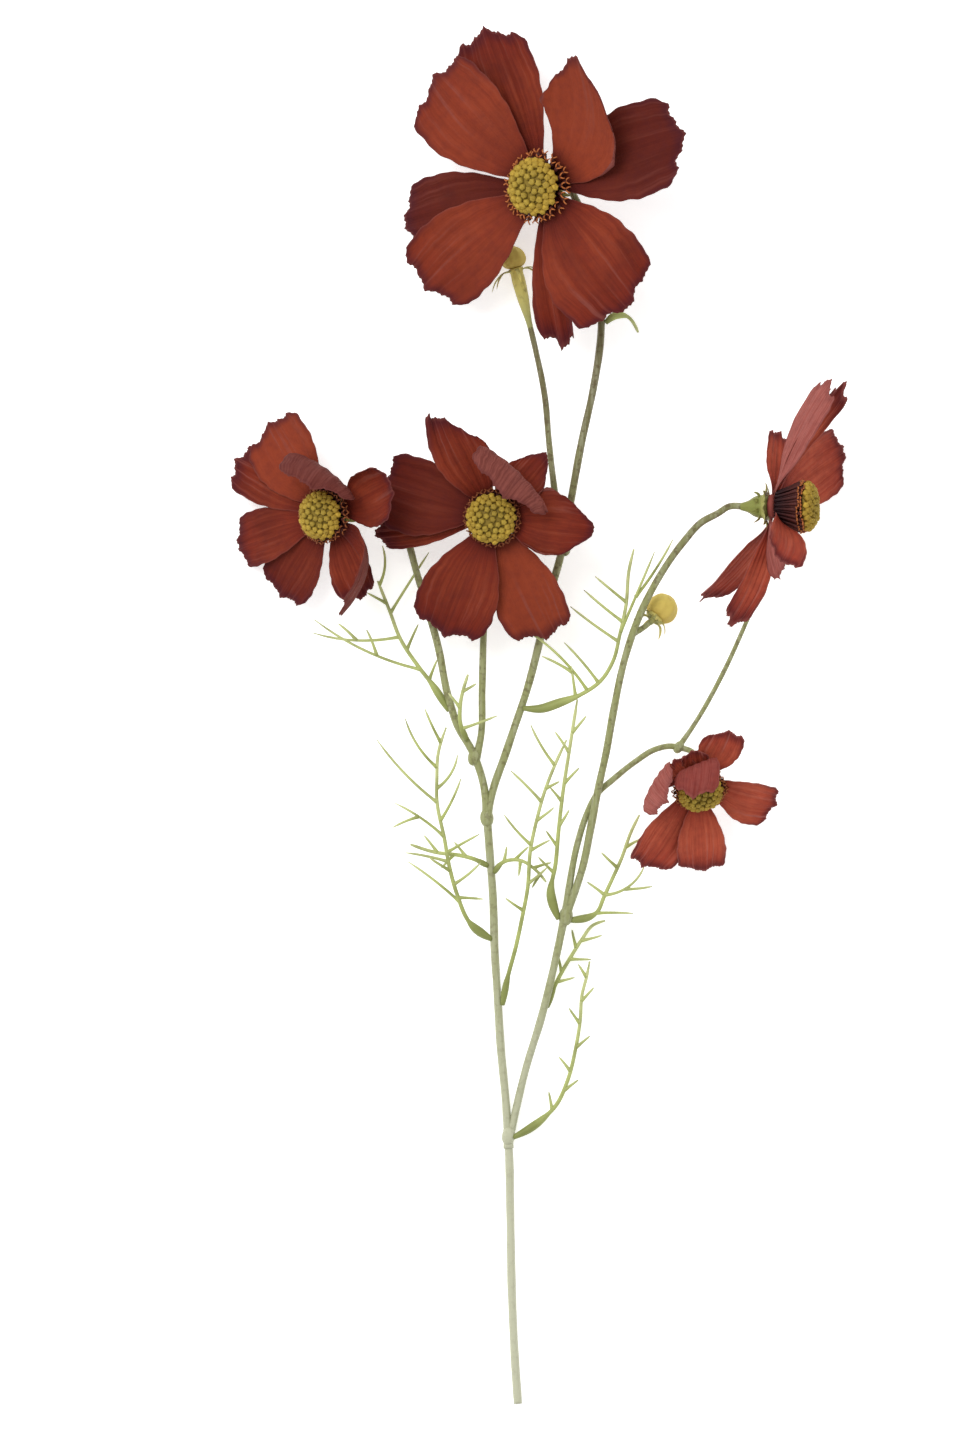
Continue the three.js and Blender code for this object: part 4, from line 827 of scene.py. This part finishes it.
class Finish:
    """A material whose nodes are added one call at a time; each call gives back the node's output."""

    def __init__(self, name, roughness, shine=0.2):
        self.material = bpy.data.materials.new(name)
        self.material.use_nodes = True
        self.tree = self.material.node_tree
        self.shader = self.tree.nodes["Principled BSDF"]
        self.shader.inputs["Roughness"].default_value = roughness
        self.shader.inputs["Specular IOR Level"].default_value = shine

    def feed(self, socket, value):
        """Sets a socket to a value, or links another node's output to it."""
        if isinstance(value, bpy.types.NodeSocket):
            self.tree.links.new(value, socket)
        elif socket.type == "RGBA":
            socket.default_value = tuple(value)[:3] + (1,)
        else:
            socket.default_value = value

    def add(self, kind, inputs, output=0, **settings):
        """Adds a node with its settings, feeds its inputs and gives back one of its outputs."""
        node = self.tree.nodes.new(kind)
        for key, value in settings.items():
            setattr(node, key, value)
        for key, value in inputs.items():
            self.feed(node.inputs[key], value)
        return node.outputs[output]

    def marks(self, *names):
        """The marks that the surfaces carry, by name."""
        return [self.add("ShaderNodeAttribute", {}, "Fac", attribute_name=name) for name in names]

    def place(self):
        """Where a point is, in metres in the frame's axes."""
        return self.add("ShaderNodeTexCoord", {}, "Object")

    def math(self, operation, a, b):
        return self.add("ShaderNodeMath", {0: a, 1: b}, operation=operation)

    def times(self, a, b):
        return self.math("MULTIPLY", a, b)

    def span(self, value, low, high, out_low=0.0, out_high=1.0):
        """value brought from low..high to the new range, with soft ends."""
        return self.add("ShaderNodeMapRange", {0: value, 1: low, 2: high, 3: out_low, 4: out_high},
                        interpolation_type="SMOOTHSTEP")

    def vector(self, x, y, z):
        return self.add("ShaderNodeCombineXYZ", {0: x, 1: y, 2: z})

    def noise(self, vector, scale, detail=3.0, rough=0.55):
        inputs = {"Vector": vector, "Scale": scale, "Detail": detail, "Roughness": rough}
        return self.add("ShaderNodeTexNoise", inputs, "Fac")

    def grain(self, scale, detail=3.0):
        """Even noise through the whole spray; scale is about how many grains there are in a metre."""
        return self.noise(self.place(), scale, detail)

    def coats(self, colour, coats):
        """A colour with others laid over it in order, each (colour, how much it covers)."""
        for coat, amount in coats:
            colour = self.add("ShaderNodeMix", {0: amount, 6: colour, 7: coat}, 2, data_type="RGBA")
        return colour

    def finish(self, colour, bumps, roughness=None):
        """Joins the colour and the bumps, each (height, depth in metres), to the shader."""
        self.feed(self.shader.inputs["Base Color"], colour)
        if roughness is not None:
            self.feed(self.shader.inputs["Roughness"], roughness)
        normal = None
        for height, depth in bumps:
            inputs = {"Height": height, "Distance": depth, "Strength": 1.0}
            if normal is not None:
                inputs["Normal"] = normal
            normal = self.add("ShaderNodeBump", inputs)
        if normal is not None:
            self.feed(self.shader.inputs["Normal"], normal)
        return self.material


# glow is the petals' lit colour: a painted highlight.
def petal_finish(name, front, deep, back, edge, glow):
    """Petal: fine veins run along it, darker between broad pleats; deep near the root, dark at the
    toothed edge, and duller and pinker on the back. Painted light: a lit colour laid in streaks as a
    highlight along the middle of the blade, each petal lifted toward it or sunk toward deep by its tone
    (partly the petal's own hue), pale streaks of painted sheen near the tip, and a pale painted
    edge-light at the very rim."""
    paint = Finish(name, 0.62, shine=0.07)
    along, across, side, tone, rim = paint.marks(*Surfaces.MARKS)
    shift = paint.times(tone, 17.0)
    spread = paint.times(across, paint.span(along, 0.0, 1.0, 0.75, 1.0))
    across_veins = paint.math("ADD", paint.times(spread, 9.0), shift)
    vein_place = paint.vector(across_veins, paint.times(along, 0.9), shift)
    veins = paint.noise(vein_place, 3.2, 4.0, 0.6)
    streaks = paint.noise(vein_place, 1.1, 2.0)
    mottle = paint.grain(420.0)
    # middle: the middle of the blade's length, where the painted highlight lies.
    middle = paint.times(paint.span(along, 0.1, 0.5), paint.span(along, 1.0, 0.6))
    # pale: painted sheen, pale reflection streaks on the pleats towards the tip
    pale = paint.times(paint.span(streaks, 0.54, 0.74, 0.0, 0.6), paint.span(along, 0.35, 0.85))
    before = paint.coats(deep, [
        (front, paint.span(veins, 0.3, 0.62, 0.45, 1.0)),
        # painted highlight: the lit colour laid in streaks along the middle of the blade
        (glow, paint.times(middle, paint.span(streaks, 0.3, 0.7, 0.25, 0.8))),
        (deep, paint.span(paint.grain(60.0), 0.42, 0.72, 0.0, 0.45)),
        # painted light and shade per petal by tone, partly the petal's own hue: lighter petals toward the lit
        # colour, darker ones toward deep
        (glow, paint.span(tone, 0.35, 0.85, 0.0, 0.8)),
        (deep, paint.span(tone, 0.32, -0.1, 0.0, 0.75)),
        (deep, paint.span(along, 0.3, 0.1, 0.0, 0.8)),
        (edge, paint.times(paint.span(rim, 2.2, 0.0), paint.span(along, 0.55, 0.95, 0.1, 0.75))),
        # painted sheen: pale reflection streaks near the tip, stronger on lighter petals
        (back, paint.times(pale, paint.span(tone, -0.1, 0.4, 0.35, 1.0))),
    ])
    behind = paint.coats(deep, [
        (back, paint.span(veins, 0.34, 0.64, 0.5, 1.0)),
        (edge, paint.span(rim, 1.0, 0.0, 0.0, 0.4)),
        # painted shade per petal by tone on the back, partly the petal's own hue
        (deep, paint.span(tone, 0.32, -0.1, 0.0, 0.6)),
    ])
    colour = paint.coats(behind, [
        (before, paint.span(side, 0.25, 0.75)),
        # painted edge-light: at the very rim the colour turns toward the pale back colour, as light shining
        # through the thin edge
        (back, paint.span(rim, 0.5, 0.05, 0.0, 0.4)),
        (edge, paint.span(mottle, 0.35, 0.75, 0.0, 0.18)),
    ])
    roughness = paint.span(veins, 0.2, 0.8, 0.75, 0.58)
    return paint.finish(colour, [(veins, 0.00016), (mottle, 0.00006)], roughness)


def disc_finish(name, tip, shade, green):
    """Florets: yellow tips over olive flanks, greener towards the middle, each a little different."""
    paint = Finish(name, 0.6, shine=0.15)
    along, side, tone = paint.marks("along", "side", "tone")
    grain = paint.grain(900.0)
    colour = paint.coats(shade, [
        (tip, paint.span(along, 0.05, 0.85)),
        (green, paint.span(side, 0.95, 0.25, 0.0, 0.55)),
        (shade, paint.times(tone, 0.35)),
        (shade, paint.span(grain, 0.4, 0.7, 0.0, 0.3)),
    ])
    return paint.finish(colour, [(grain, 0.0002)])


def collar_finish(name, dark, tube_colour, tip):
    """Tubes: nearly black at the foot, brown-purple above, with tan and orange curled tips."""
    paint = Finish(name, 0.5, shine=0.15)
    along, side = paint.marks("along", "side")
    grain = paint.grain(700.0)
    colour = paint.coats(dark, [
        (tube_colour, paint.span(along, 0.1, 0.9)),
        (paint.coats(tube_colour, [(tip, paint.span(along, 0.1, 0.6))]), side),
        (dark, paint.span(grain, 0.45, 0.75, 0.0, 0.4)),
    ])
    return paint.finish(colour, [(grain, 0.0002)])


def green_finish(name, low, high, edge, brown):
    """Calyx and bracts: satin green, streaked lengthwise with pale streaks, paler on pieces of high tone and
    browner in spots.
    """
    paint = Finish(name, 0.5)
    along, across, tone = paint.marks("along", "across", "tone")
    streaks = paint.noise(paint.vector(paint.times(across, 3.0), paint.times(along, 0.6), tone), 2.4)
    grain = paint.grain(500.0, 4.0)
    colour = paint.coats(low, [
        (high, along),
        (edge, paint.span(streaks, 0.4, 0.7, 0.0, 0.45)),
        (edge, paint.span(tone, 0.7, 1.0, 0.0, 0.7)),
        (brown, paint.span(grain, 0.52, 0.75, 0.0, 0.55)),
    ])
    return paint.finish(colour, [(grain, 0.00015), (streaks, 0.0002)])


def stem_finish(name, low, middle, high, speck):
    """Stem: pale grey-green low down, olive in the middle and brownish above, with fine lengthwise
    fibres and dark specks that grow thicker towards the blooms."""
    paint = Finish(name, 0.46)
    up = paint.add("ShaderNodeSeparateXYZ", {0: paint.place()}, "Y")
    stretched = paint.add("ShaderNodeMapping", {"Vector": paint.place(), "Scale": (900.0, 60.0, 900.0)})
    fibres = paint.noise(stretched, 1.0)
    grain = paint.grain(650.0, 4.0)
    height = paint.math("ADD", up, paint.times(paint.math("SUBTRACT", paint.grain(45.0), 0.5), 0.12))
    colour = paint.coats(low, [
        (middle, paint.span(height, -0.16, -0.02)),
        (high, paint.span(height, 0.0, 0.12)),
        (low, paint.span(fibres, 0.4, 0.75, 0.0, 0.35)),
        (speck, paint.times(paint.span(grain, 0.5, 0.66), paint.span(up, -0.15, 0.1, 0.12, 0.75))),
    ])
    return paint.finish(colour, [(fibres, 0.00025), (grain, 0.00012)])


def leaf_finish(name, fresh, pale, deep):
    """Leaf threads: fresh yellow-green, paler towards their tips, each thread a little different, and
    deeper where the base clasps the stem."""
    paint = Finish(name, 0.45)
    along, side, tone = paint.marks("along", "side", "tone")
    base = paint.times(paint.span(along, 0.3, 0.05), paint.span(side, 0.6, 0.4))
    colour = paint.coats(fresh, [
        (pale, paint.span(along, 0.3, 1.0, 0.0, 0.8)),
        (deep, paint.span(paint.grain(130.0), 0.42, 0.7, 0.0, 0.7)),
        (pale, paint.times(tone, 0.3)),
        (deep, paint.times(base, 0.8)),
    ])
    return paint.finish(colour, [(paint.grain(800.0), 0.00012)])


def bud_finish(name, skin, darker_skin, top):
    """Bud: matt olive-yellow, darker towards its foot and in patches, and warmer at the top."""
    paint = Finish(name, 0.58, shine=0.15)
    along, = paint.marks("along")
    patches = paint.grain(220.0)
    colour = paint.coats(darker_skin, [
        (skin, paint.span(along, 0.1, 0.9)),
        (top, paint.span(along, 0.75, 1.0, 0.0, 0.6)),
        (darker_skin, paint.span(patches, 0.45, 0.75, 0.0, 0.6)),
    ])
    return paint.finish(colour, [(paint.grain(900.0), 0.00015), (patches, 0.0003)])


# ---- What a user may change ----
def amount(name, description, default, **more):
    """A number that a user may change, 0 or more."""
    return bpy.props.FloatProperty(name=name, description=description, default=default, min=0.0, **more)


def tint(name, description, *rgb):
    """A colour that a user may change, given from 0 to 255 as a screen shows it."""
    return bpy.props.FloatVectorProperty(name=name, description=description, default=linear(*rgb),
                                         subtype="COLOR", size=3, min=0.0, max=1.0)


class CosmosSizes(bpy.types.PropertyGroup):
    """Sizes of the fine forms, in millimetres where they are lengths."""
    thickness: amount("Petal thickness", "Thickness of a petal's blade, in mm", 0.5)
    teeth: amount("Petal teeth", "Depth of the teeth at a petal's tip, as a share of its length", 0.021)
    furrow: amount("Petal furrows", "Depth of the lengthwise furrows, in mm", 0.16)
    florets: bpy.props.IntProperty(name="Florets", description="Closed florets on each disc",
                                   default=66, min=12)
    tubes: bpy.props.IntProperty(name="Tubes", description="Dark tubes in each of the collar's two rows",
                                 default=22, min=6)


class CosmosColours(bpy.types.PropertyGroup):
    """Colours of the finishes."""
    petal: tint("Petal", "Front of the dark petals", 112, 36, 23)
    petal_deep: tint("Petal, deep", "Between the veins and near the root", 74, 25, 21)
    # The lit colour of the dark petals: a painted highlight over the middle of the blades and on petals set
    # lighter.
    petal_painted_highlight: tint("Petal, lit", "Warm patches of the dark petals", 140, 60, 37)
    petal_back: tint("Petal back", "Back of the dark petals", 128, 70, 62)
    petal_edge: tint("Petal edge", "Toothed edge of the petals", 66, 24, 33)
    faded: tint("Faded petal", "Front of the faded petals", 162, 66, 48)
    faded_deep: tint("Faded petal, deep", "Between the veins of the faded petals", 118, 38, 31)
    # The lit colour of the faded petals: a painted highlight over the middle of the blades and on petals set
    # lighter.
    faded_painted_highlight: tint("Faded petal, lit", "Warm patches of the faded petals", 186, 92, 66)
    faded_back: tint("Faded petal back", "Back of the faded petals", 164, 96, 88)
    floret: tint("Floret", "Tips of the disc's florets", 190, 158, 62)
    floret_shade: tint("Floret, shade", "Flanks of the florets", 92, 66, 22)
    floret_green: tint("Floret, green", "Florets in the middle of the disc", 160, 142, 62)
    tube_dark: tint("Tube, foot", "Foot of the dark tubes", 38, 16, 20)
    tube_brown: tint("Tube", "Brown-purple of the tubes", 78, 38, 34)
    tube_tip: tint("Tube tip", "Curled tips of the outer florets", 178, 104, 56)
    calyx: tint("Calyx", "Cup and bracts", 128, 132, 66)
    calyx_pale: tint("Calyx, pale", "Pale streaks and edges of the bracts", 184, 178, 110)
    calyx_brown: tint("Calyx, brown", "Brown specks of the calyx", 112, 84, 48)
    stem_low: tint("Stem, low", "Lowest stem", 189, 190, 164)
    stem_middle: tint("Stem, middle", "Middle of the stem", 142, 145, 96)
    stem_high: tint("Stem, high", "Stem near the blooms", 106, 100, 66)
    stem_speck: tint("Stem specks", "Specks on the stem", 90, 76, 50)
    leaf: tint("Leaf", "Leaf threads", 170, 179, 105)
    leaf_pale: tint("Leaf, pale", "Tips of the threads", 200, 204, 148)
    leaf_deep: tint("Leaf, deep", "Darker patches of the threads", 122, 128, 70)
    bud: tint("Bud", "Skin of the buds", 216, 198, 104)
    # Darker colour of the buds, towards each bud's foot and in patches.
    bud_darker_skin: tint("Bud folds", "Folds of the buds", 196, 172, 88)
    bud_top: tint("Bud top", "Top of the buds", 206, 176, 84)


class CosmosStage(bpy.types.PropertyGroup):
    """Floor, light and camera."""
    floor: tint("Floor", "Colour of the floor", 250, 250, 250)
    glow: amount("Floor glow", "Light that the floor gives off, so that it stays white", 0.45)
    sky: amount("Sky light", "Strength of the even light from all round", 0.8)
    key: amount("Key light", "Power of the large soft lamp", 8.0, unit="POWER")
    distance: amount("Camera height", "Height of the camera over the floor", 5.0, unit="LENGTH")
    view_height: amount("View height", "What the picture takes in from foot to head", 0.4608, unit="LENGTH")


def settings():
    """The scene's sizes, colours and stage, as the user has set them."""
    scene = bpy.context.scene
    return scene.cosmos_sizes, scene.cosmos_colours, scene.cosmos_stage


# ---- Operators ----
def make(name, material, slot, node, shape, *details):
    """Builds one piece from a function that fills its surfaces, in the place of a CAD node."""
    surfaces = Surfaces()
    shape(surfaces, *details)
    surfaces.build(name, material, [node])


class COSMOS_OT_petals(bpy.types.Operator):
    """Builds the petals of the five blooms"""
    bl_idname = "cosmos.petals"
    bl_label = "Petals"

    def execute(self, context):
        sizes, colours, _ = settings()
        dark = petal_finish("Burgundy petal", colours.petal, colours.petal_deep, colours.petal_back,
                            colours.petal_edge, colours.petal_painted_highlight)
        faded = petal_finish("Faded petal", colours.faded, colours.faded_deep, colours.faded_back,
                             colours.petal_edge, colours.faded_painted_highlight)
        for name, bloom in BLOOMS.items():
            material, slot = (faded, "petal_pale") if name in FADED else (dark, "petal")
            make("petal_blades_" + name, material, slot, "petals_" + name, petal_blades, bloom, sizes)
        return {"FINISHED"}


class COSMOS_OT_discs(bpy.types.Operator):
    """Builds the yellow discs and the dark collars round them"""
    bl_idname = "cosmos.discs"
    bl_label = "Discs and collars"

    def execute(self, context):
        sizes, colours, _ = settings()
        yellow = disc_finish("Floret", colours.floret, colours.floret_shade, colours.floret_green)
        dark = collar_finish("Floret tube", colours.tube_dark, colours.tube_brown, colours.tube_tip)
        for name, bloom in BLOOMS.items():
            make("florets_" + name, yellow, "disc", "disc_" + name, disc_florets, bloom, sizes)
            make("tubes_" + name, dark, "collar", "collar_" + name, collar_tubes, bloom, sizes)
        return {"FINISHED"}


class COSMOS_OT_calyxes(bpy.types.Operator):
    """Builds the green cups and bracts behind the petals"""
    bl_idname = "cosmos.calyxes"
    bl_label = "Calyxes"

    def execute(self, context):
        colours = settings()[1]
        green = green_finish("Calyx", colours.calyx, colours.calyx, colours.calyx_pale, colours.calyx_brown)
        for name, bloom in BLOOMS.items():
            make("cup_" + name, green, "calyx", "calyx_" + name, calyx_cup, bloom)
        return {"FINISHED"}


class COSMOS_OT_stem(bpy.types.Operator):
    """Builds the branching stem"""
    bl_idname = "cosmos.stem"
    bl_label = "Stem"

    def execute(self, context):
        colours = settings()[1]
        material = stem_finish("Stem", colours.stem_low, colours.stem_middle, colours.stem_high,
                               colours.stem_speck)
        make("branching_stem", material, "stem", "stem", stem_tubes)
        return {"FINISHED"}


class COSMOS_OT_leaves(bpy.types.Operator):
    """Builds the thread-like leaves"""
    bl_idname = "cosmos.leaves"
    bl_label = "Leaves"

    def execute(self, context):
        colours = settings()[1]
        material = leaf_finish("Leaf thread", colours.leaf, colours.leaf_pale, colours.leaf_deep)
        for seed, (name, leaf) in enumerate(LEAVES.items()):
            make(name.replace("leaf_", "threads_"), material, "leaf", name, leaf_threads, leaf, seed)
        return {"FINISHED"}


class COSMOS_OT_buds(bpy.types.Operator):
    """Builds the closed buds with their necks and bracts"""
    bl_idname = "cosmos.buds"
    bl_label = "Buds"

    def execute(self, context):
        colours = settings()[1]
        skin = bud_finish("Bud skin", colours.bud, colours.bud_darker_skin, colours.bud_top)
        green = green_finish("Bud neck", colours.stem_middle, colours.bud, colours.calyx_pale,
                             colours.stem_speck)
        for seed, (name, bud) in enumerate(BUDS.items(), 40):
            make("ball_" + name, skin, "bud", name, bud_ball, bud)
            make("neck_" + name, green, "calyx", name + "_bracts", bud_cup, bud, seed)
        return {"FINISHED"}


class COSMOS_OT_stage(bpy.types.Operator):
    """Lays the floor and sets the light and the camera"""
    bl_idname = "cosmos.stage"
    bl_label = "Floor, light and camera"

    def execute(self, context):
        stage = settings()[2]
        scene = context.scene
        half = 6.0  # the floor reaches this far each way, in metres
        corners = [(-half, -half, 0), (half, -half, 0), (half, half, 0), (-half, half, 0)]
        mesh = bpy.data.meshes.new("floor")
        mesh.from_pydata(corners, [], [(0, 1, 2, 3)])
        floor = bpy.data.objects.new("floor", mesh)
        scene.collection.objects.link(floor)
        paper = Finish("Pale floor", 0.9)
        paper.shader.inputs["Emission Color"].default_value = (1, 1, 1, 1)
        paper.shader.inputs["Emission Strength"].default_value = stage.glow
        mesh.materials.append(paper.finish(stage.floor, []))
        world = bpy.data.worlds.new("Even sky")
        world.use_nodes = True
        world.node_tree.nodes["Background"].inputs["Color"].default_value = (1, 1, 1, 1)
        world.node_tree.nodes["Background"].inputs["Strength"].default_value = stage.sky
        scene.world = world
        lamp = bpy.data.lights.new("key", "AREA")
        lamp.shape = "DISK"
        lamp.size = 0.7
        lamp.energy = stage.key
        key = bpy.data.objects.new("key", lamp)
        key.location = (-0.45, 0.5, 1.1)
        key.rotation_euler = (np.radians(-25), np.radians(-22), 0)
        scene.collection.objects.link(key)
        data = bpy.data.cameras.new("camera")
        data.sensor_width = 36
        data.lens = 36 * (stage.distance - VIEW_PLANE) / stage.view_height
        data.clip_end = 100
        camera = bpy.data.objects.new("camera", data)
        camera.location = (VIEW_CENTRE[0], VIEW_CENTRE[1], stage.distance)
        scene.collection.objects.link(camera)
        scene.camera = camera
        scene.view_settings.view_transform = "Standard"
        return {"FINISHED"}


class COSMOS_PT_panel(bpy.types.Panel):
    """Lists the steps of the build and what they can be changed by"""
    bl_label = "Cosmos spray"
    bl_idname = "COSMOS_PT_panel"
    bl_space_type = "VIEW_3D"
    bl_region_type = "UI"
    bl_category = "Cosmos"

    def draw(self, context):
        for step in STEPS:
            self.layout.operator(step.bl_idname)
        for group in settings():
            for name in group.bl_rna.properties.keys():
                if name not in ("rna_type", "name"):
                    self.layout.prop(group, name)


GROUPS = {"cosmos_sizes": CosmosSizes, "cosmos_colours": CosmosColours, "cosmos_stage": CosmosStage}
STEPS = [COSMOS_OT_petals, COSMOS_OT_discs, COSMOS_OT_calyxes, COSMOS_OT_stem, COSMOS_OT_leaves,
         COSMOS_OT_buds, COSMOS_OT_stage]


def register():
    """Registers the settings, the steps and the panel."""
    for one in [*GROUPS.values(), *STEPS, COSMOS_PT_panel]:
        bpy.utils.register_class(one)
    for name, group in GROUPS.items():
        setattr(bpy.types.Scene, name, bpy.props.PointerProperty(type=group))


def unregister():
    """Takes away what register added."""
    for name in GROUPS:
        delattr(bpy.types.Scene, name)
    for one in reversed([*GROUPS.values(), *STEPS, COSMOS_PT_panel]):
        bpy.utils.unregister_class(one)


def main():
    """Registers the classes and runs each step in order."""
    register()
    for step in STEPS:
        group, name = step.bl_idname.split(".")
        getattr(getattr(bpy.ops, group), name)()


if __name__ == "__main__":
    main()
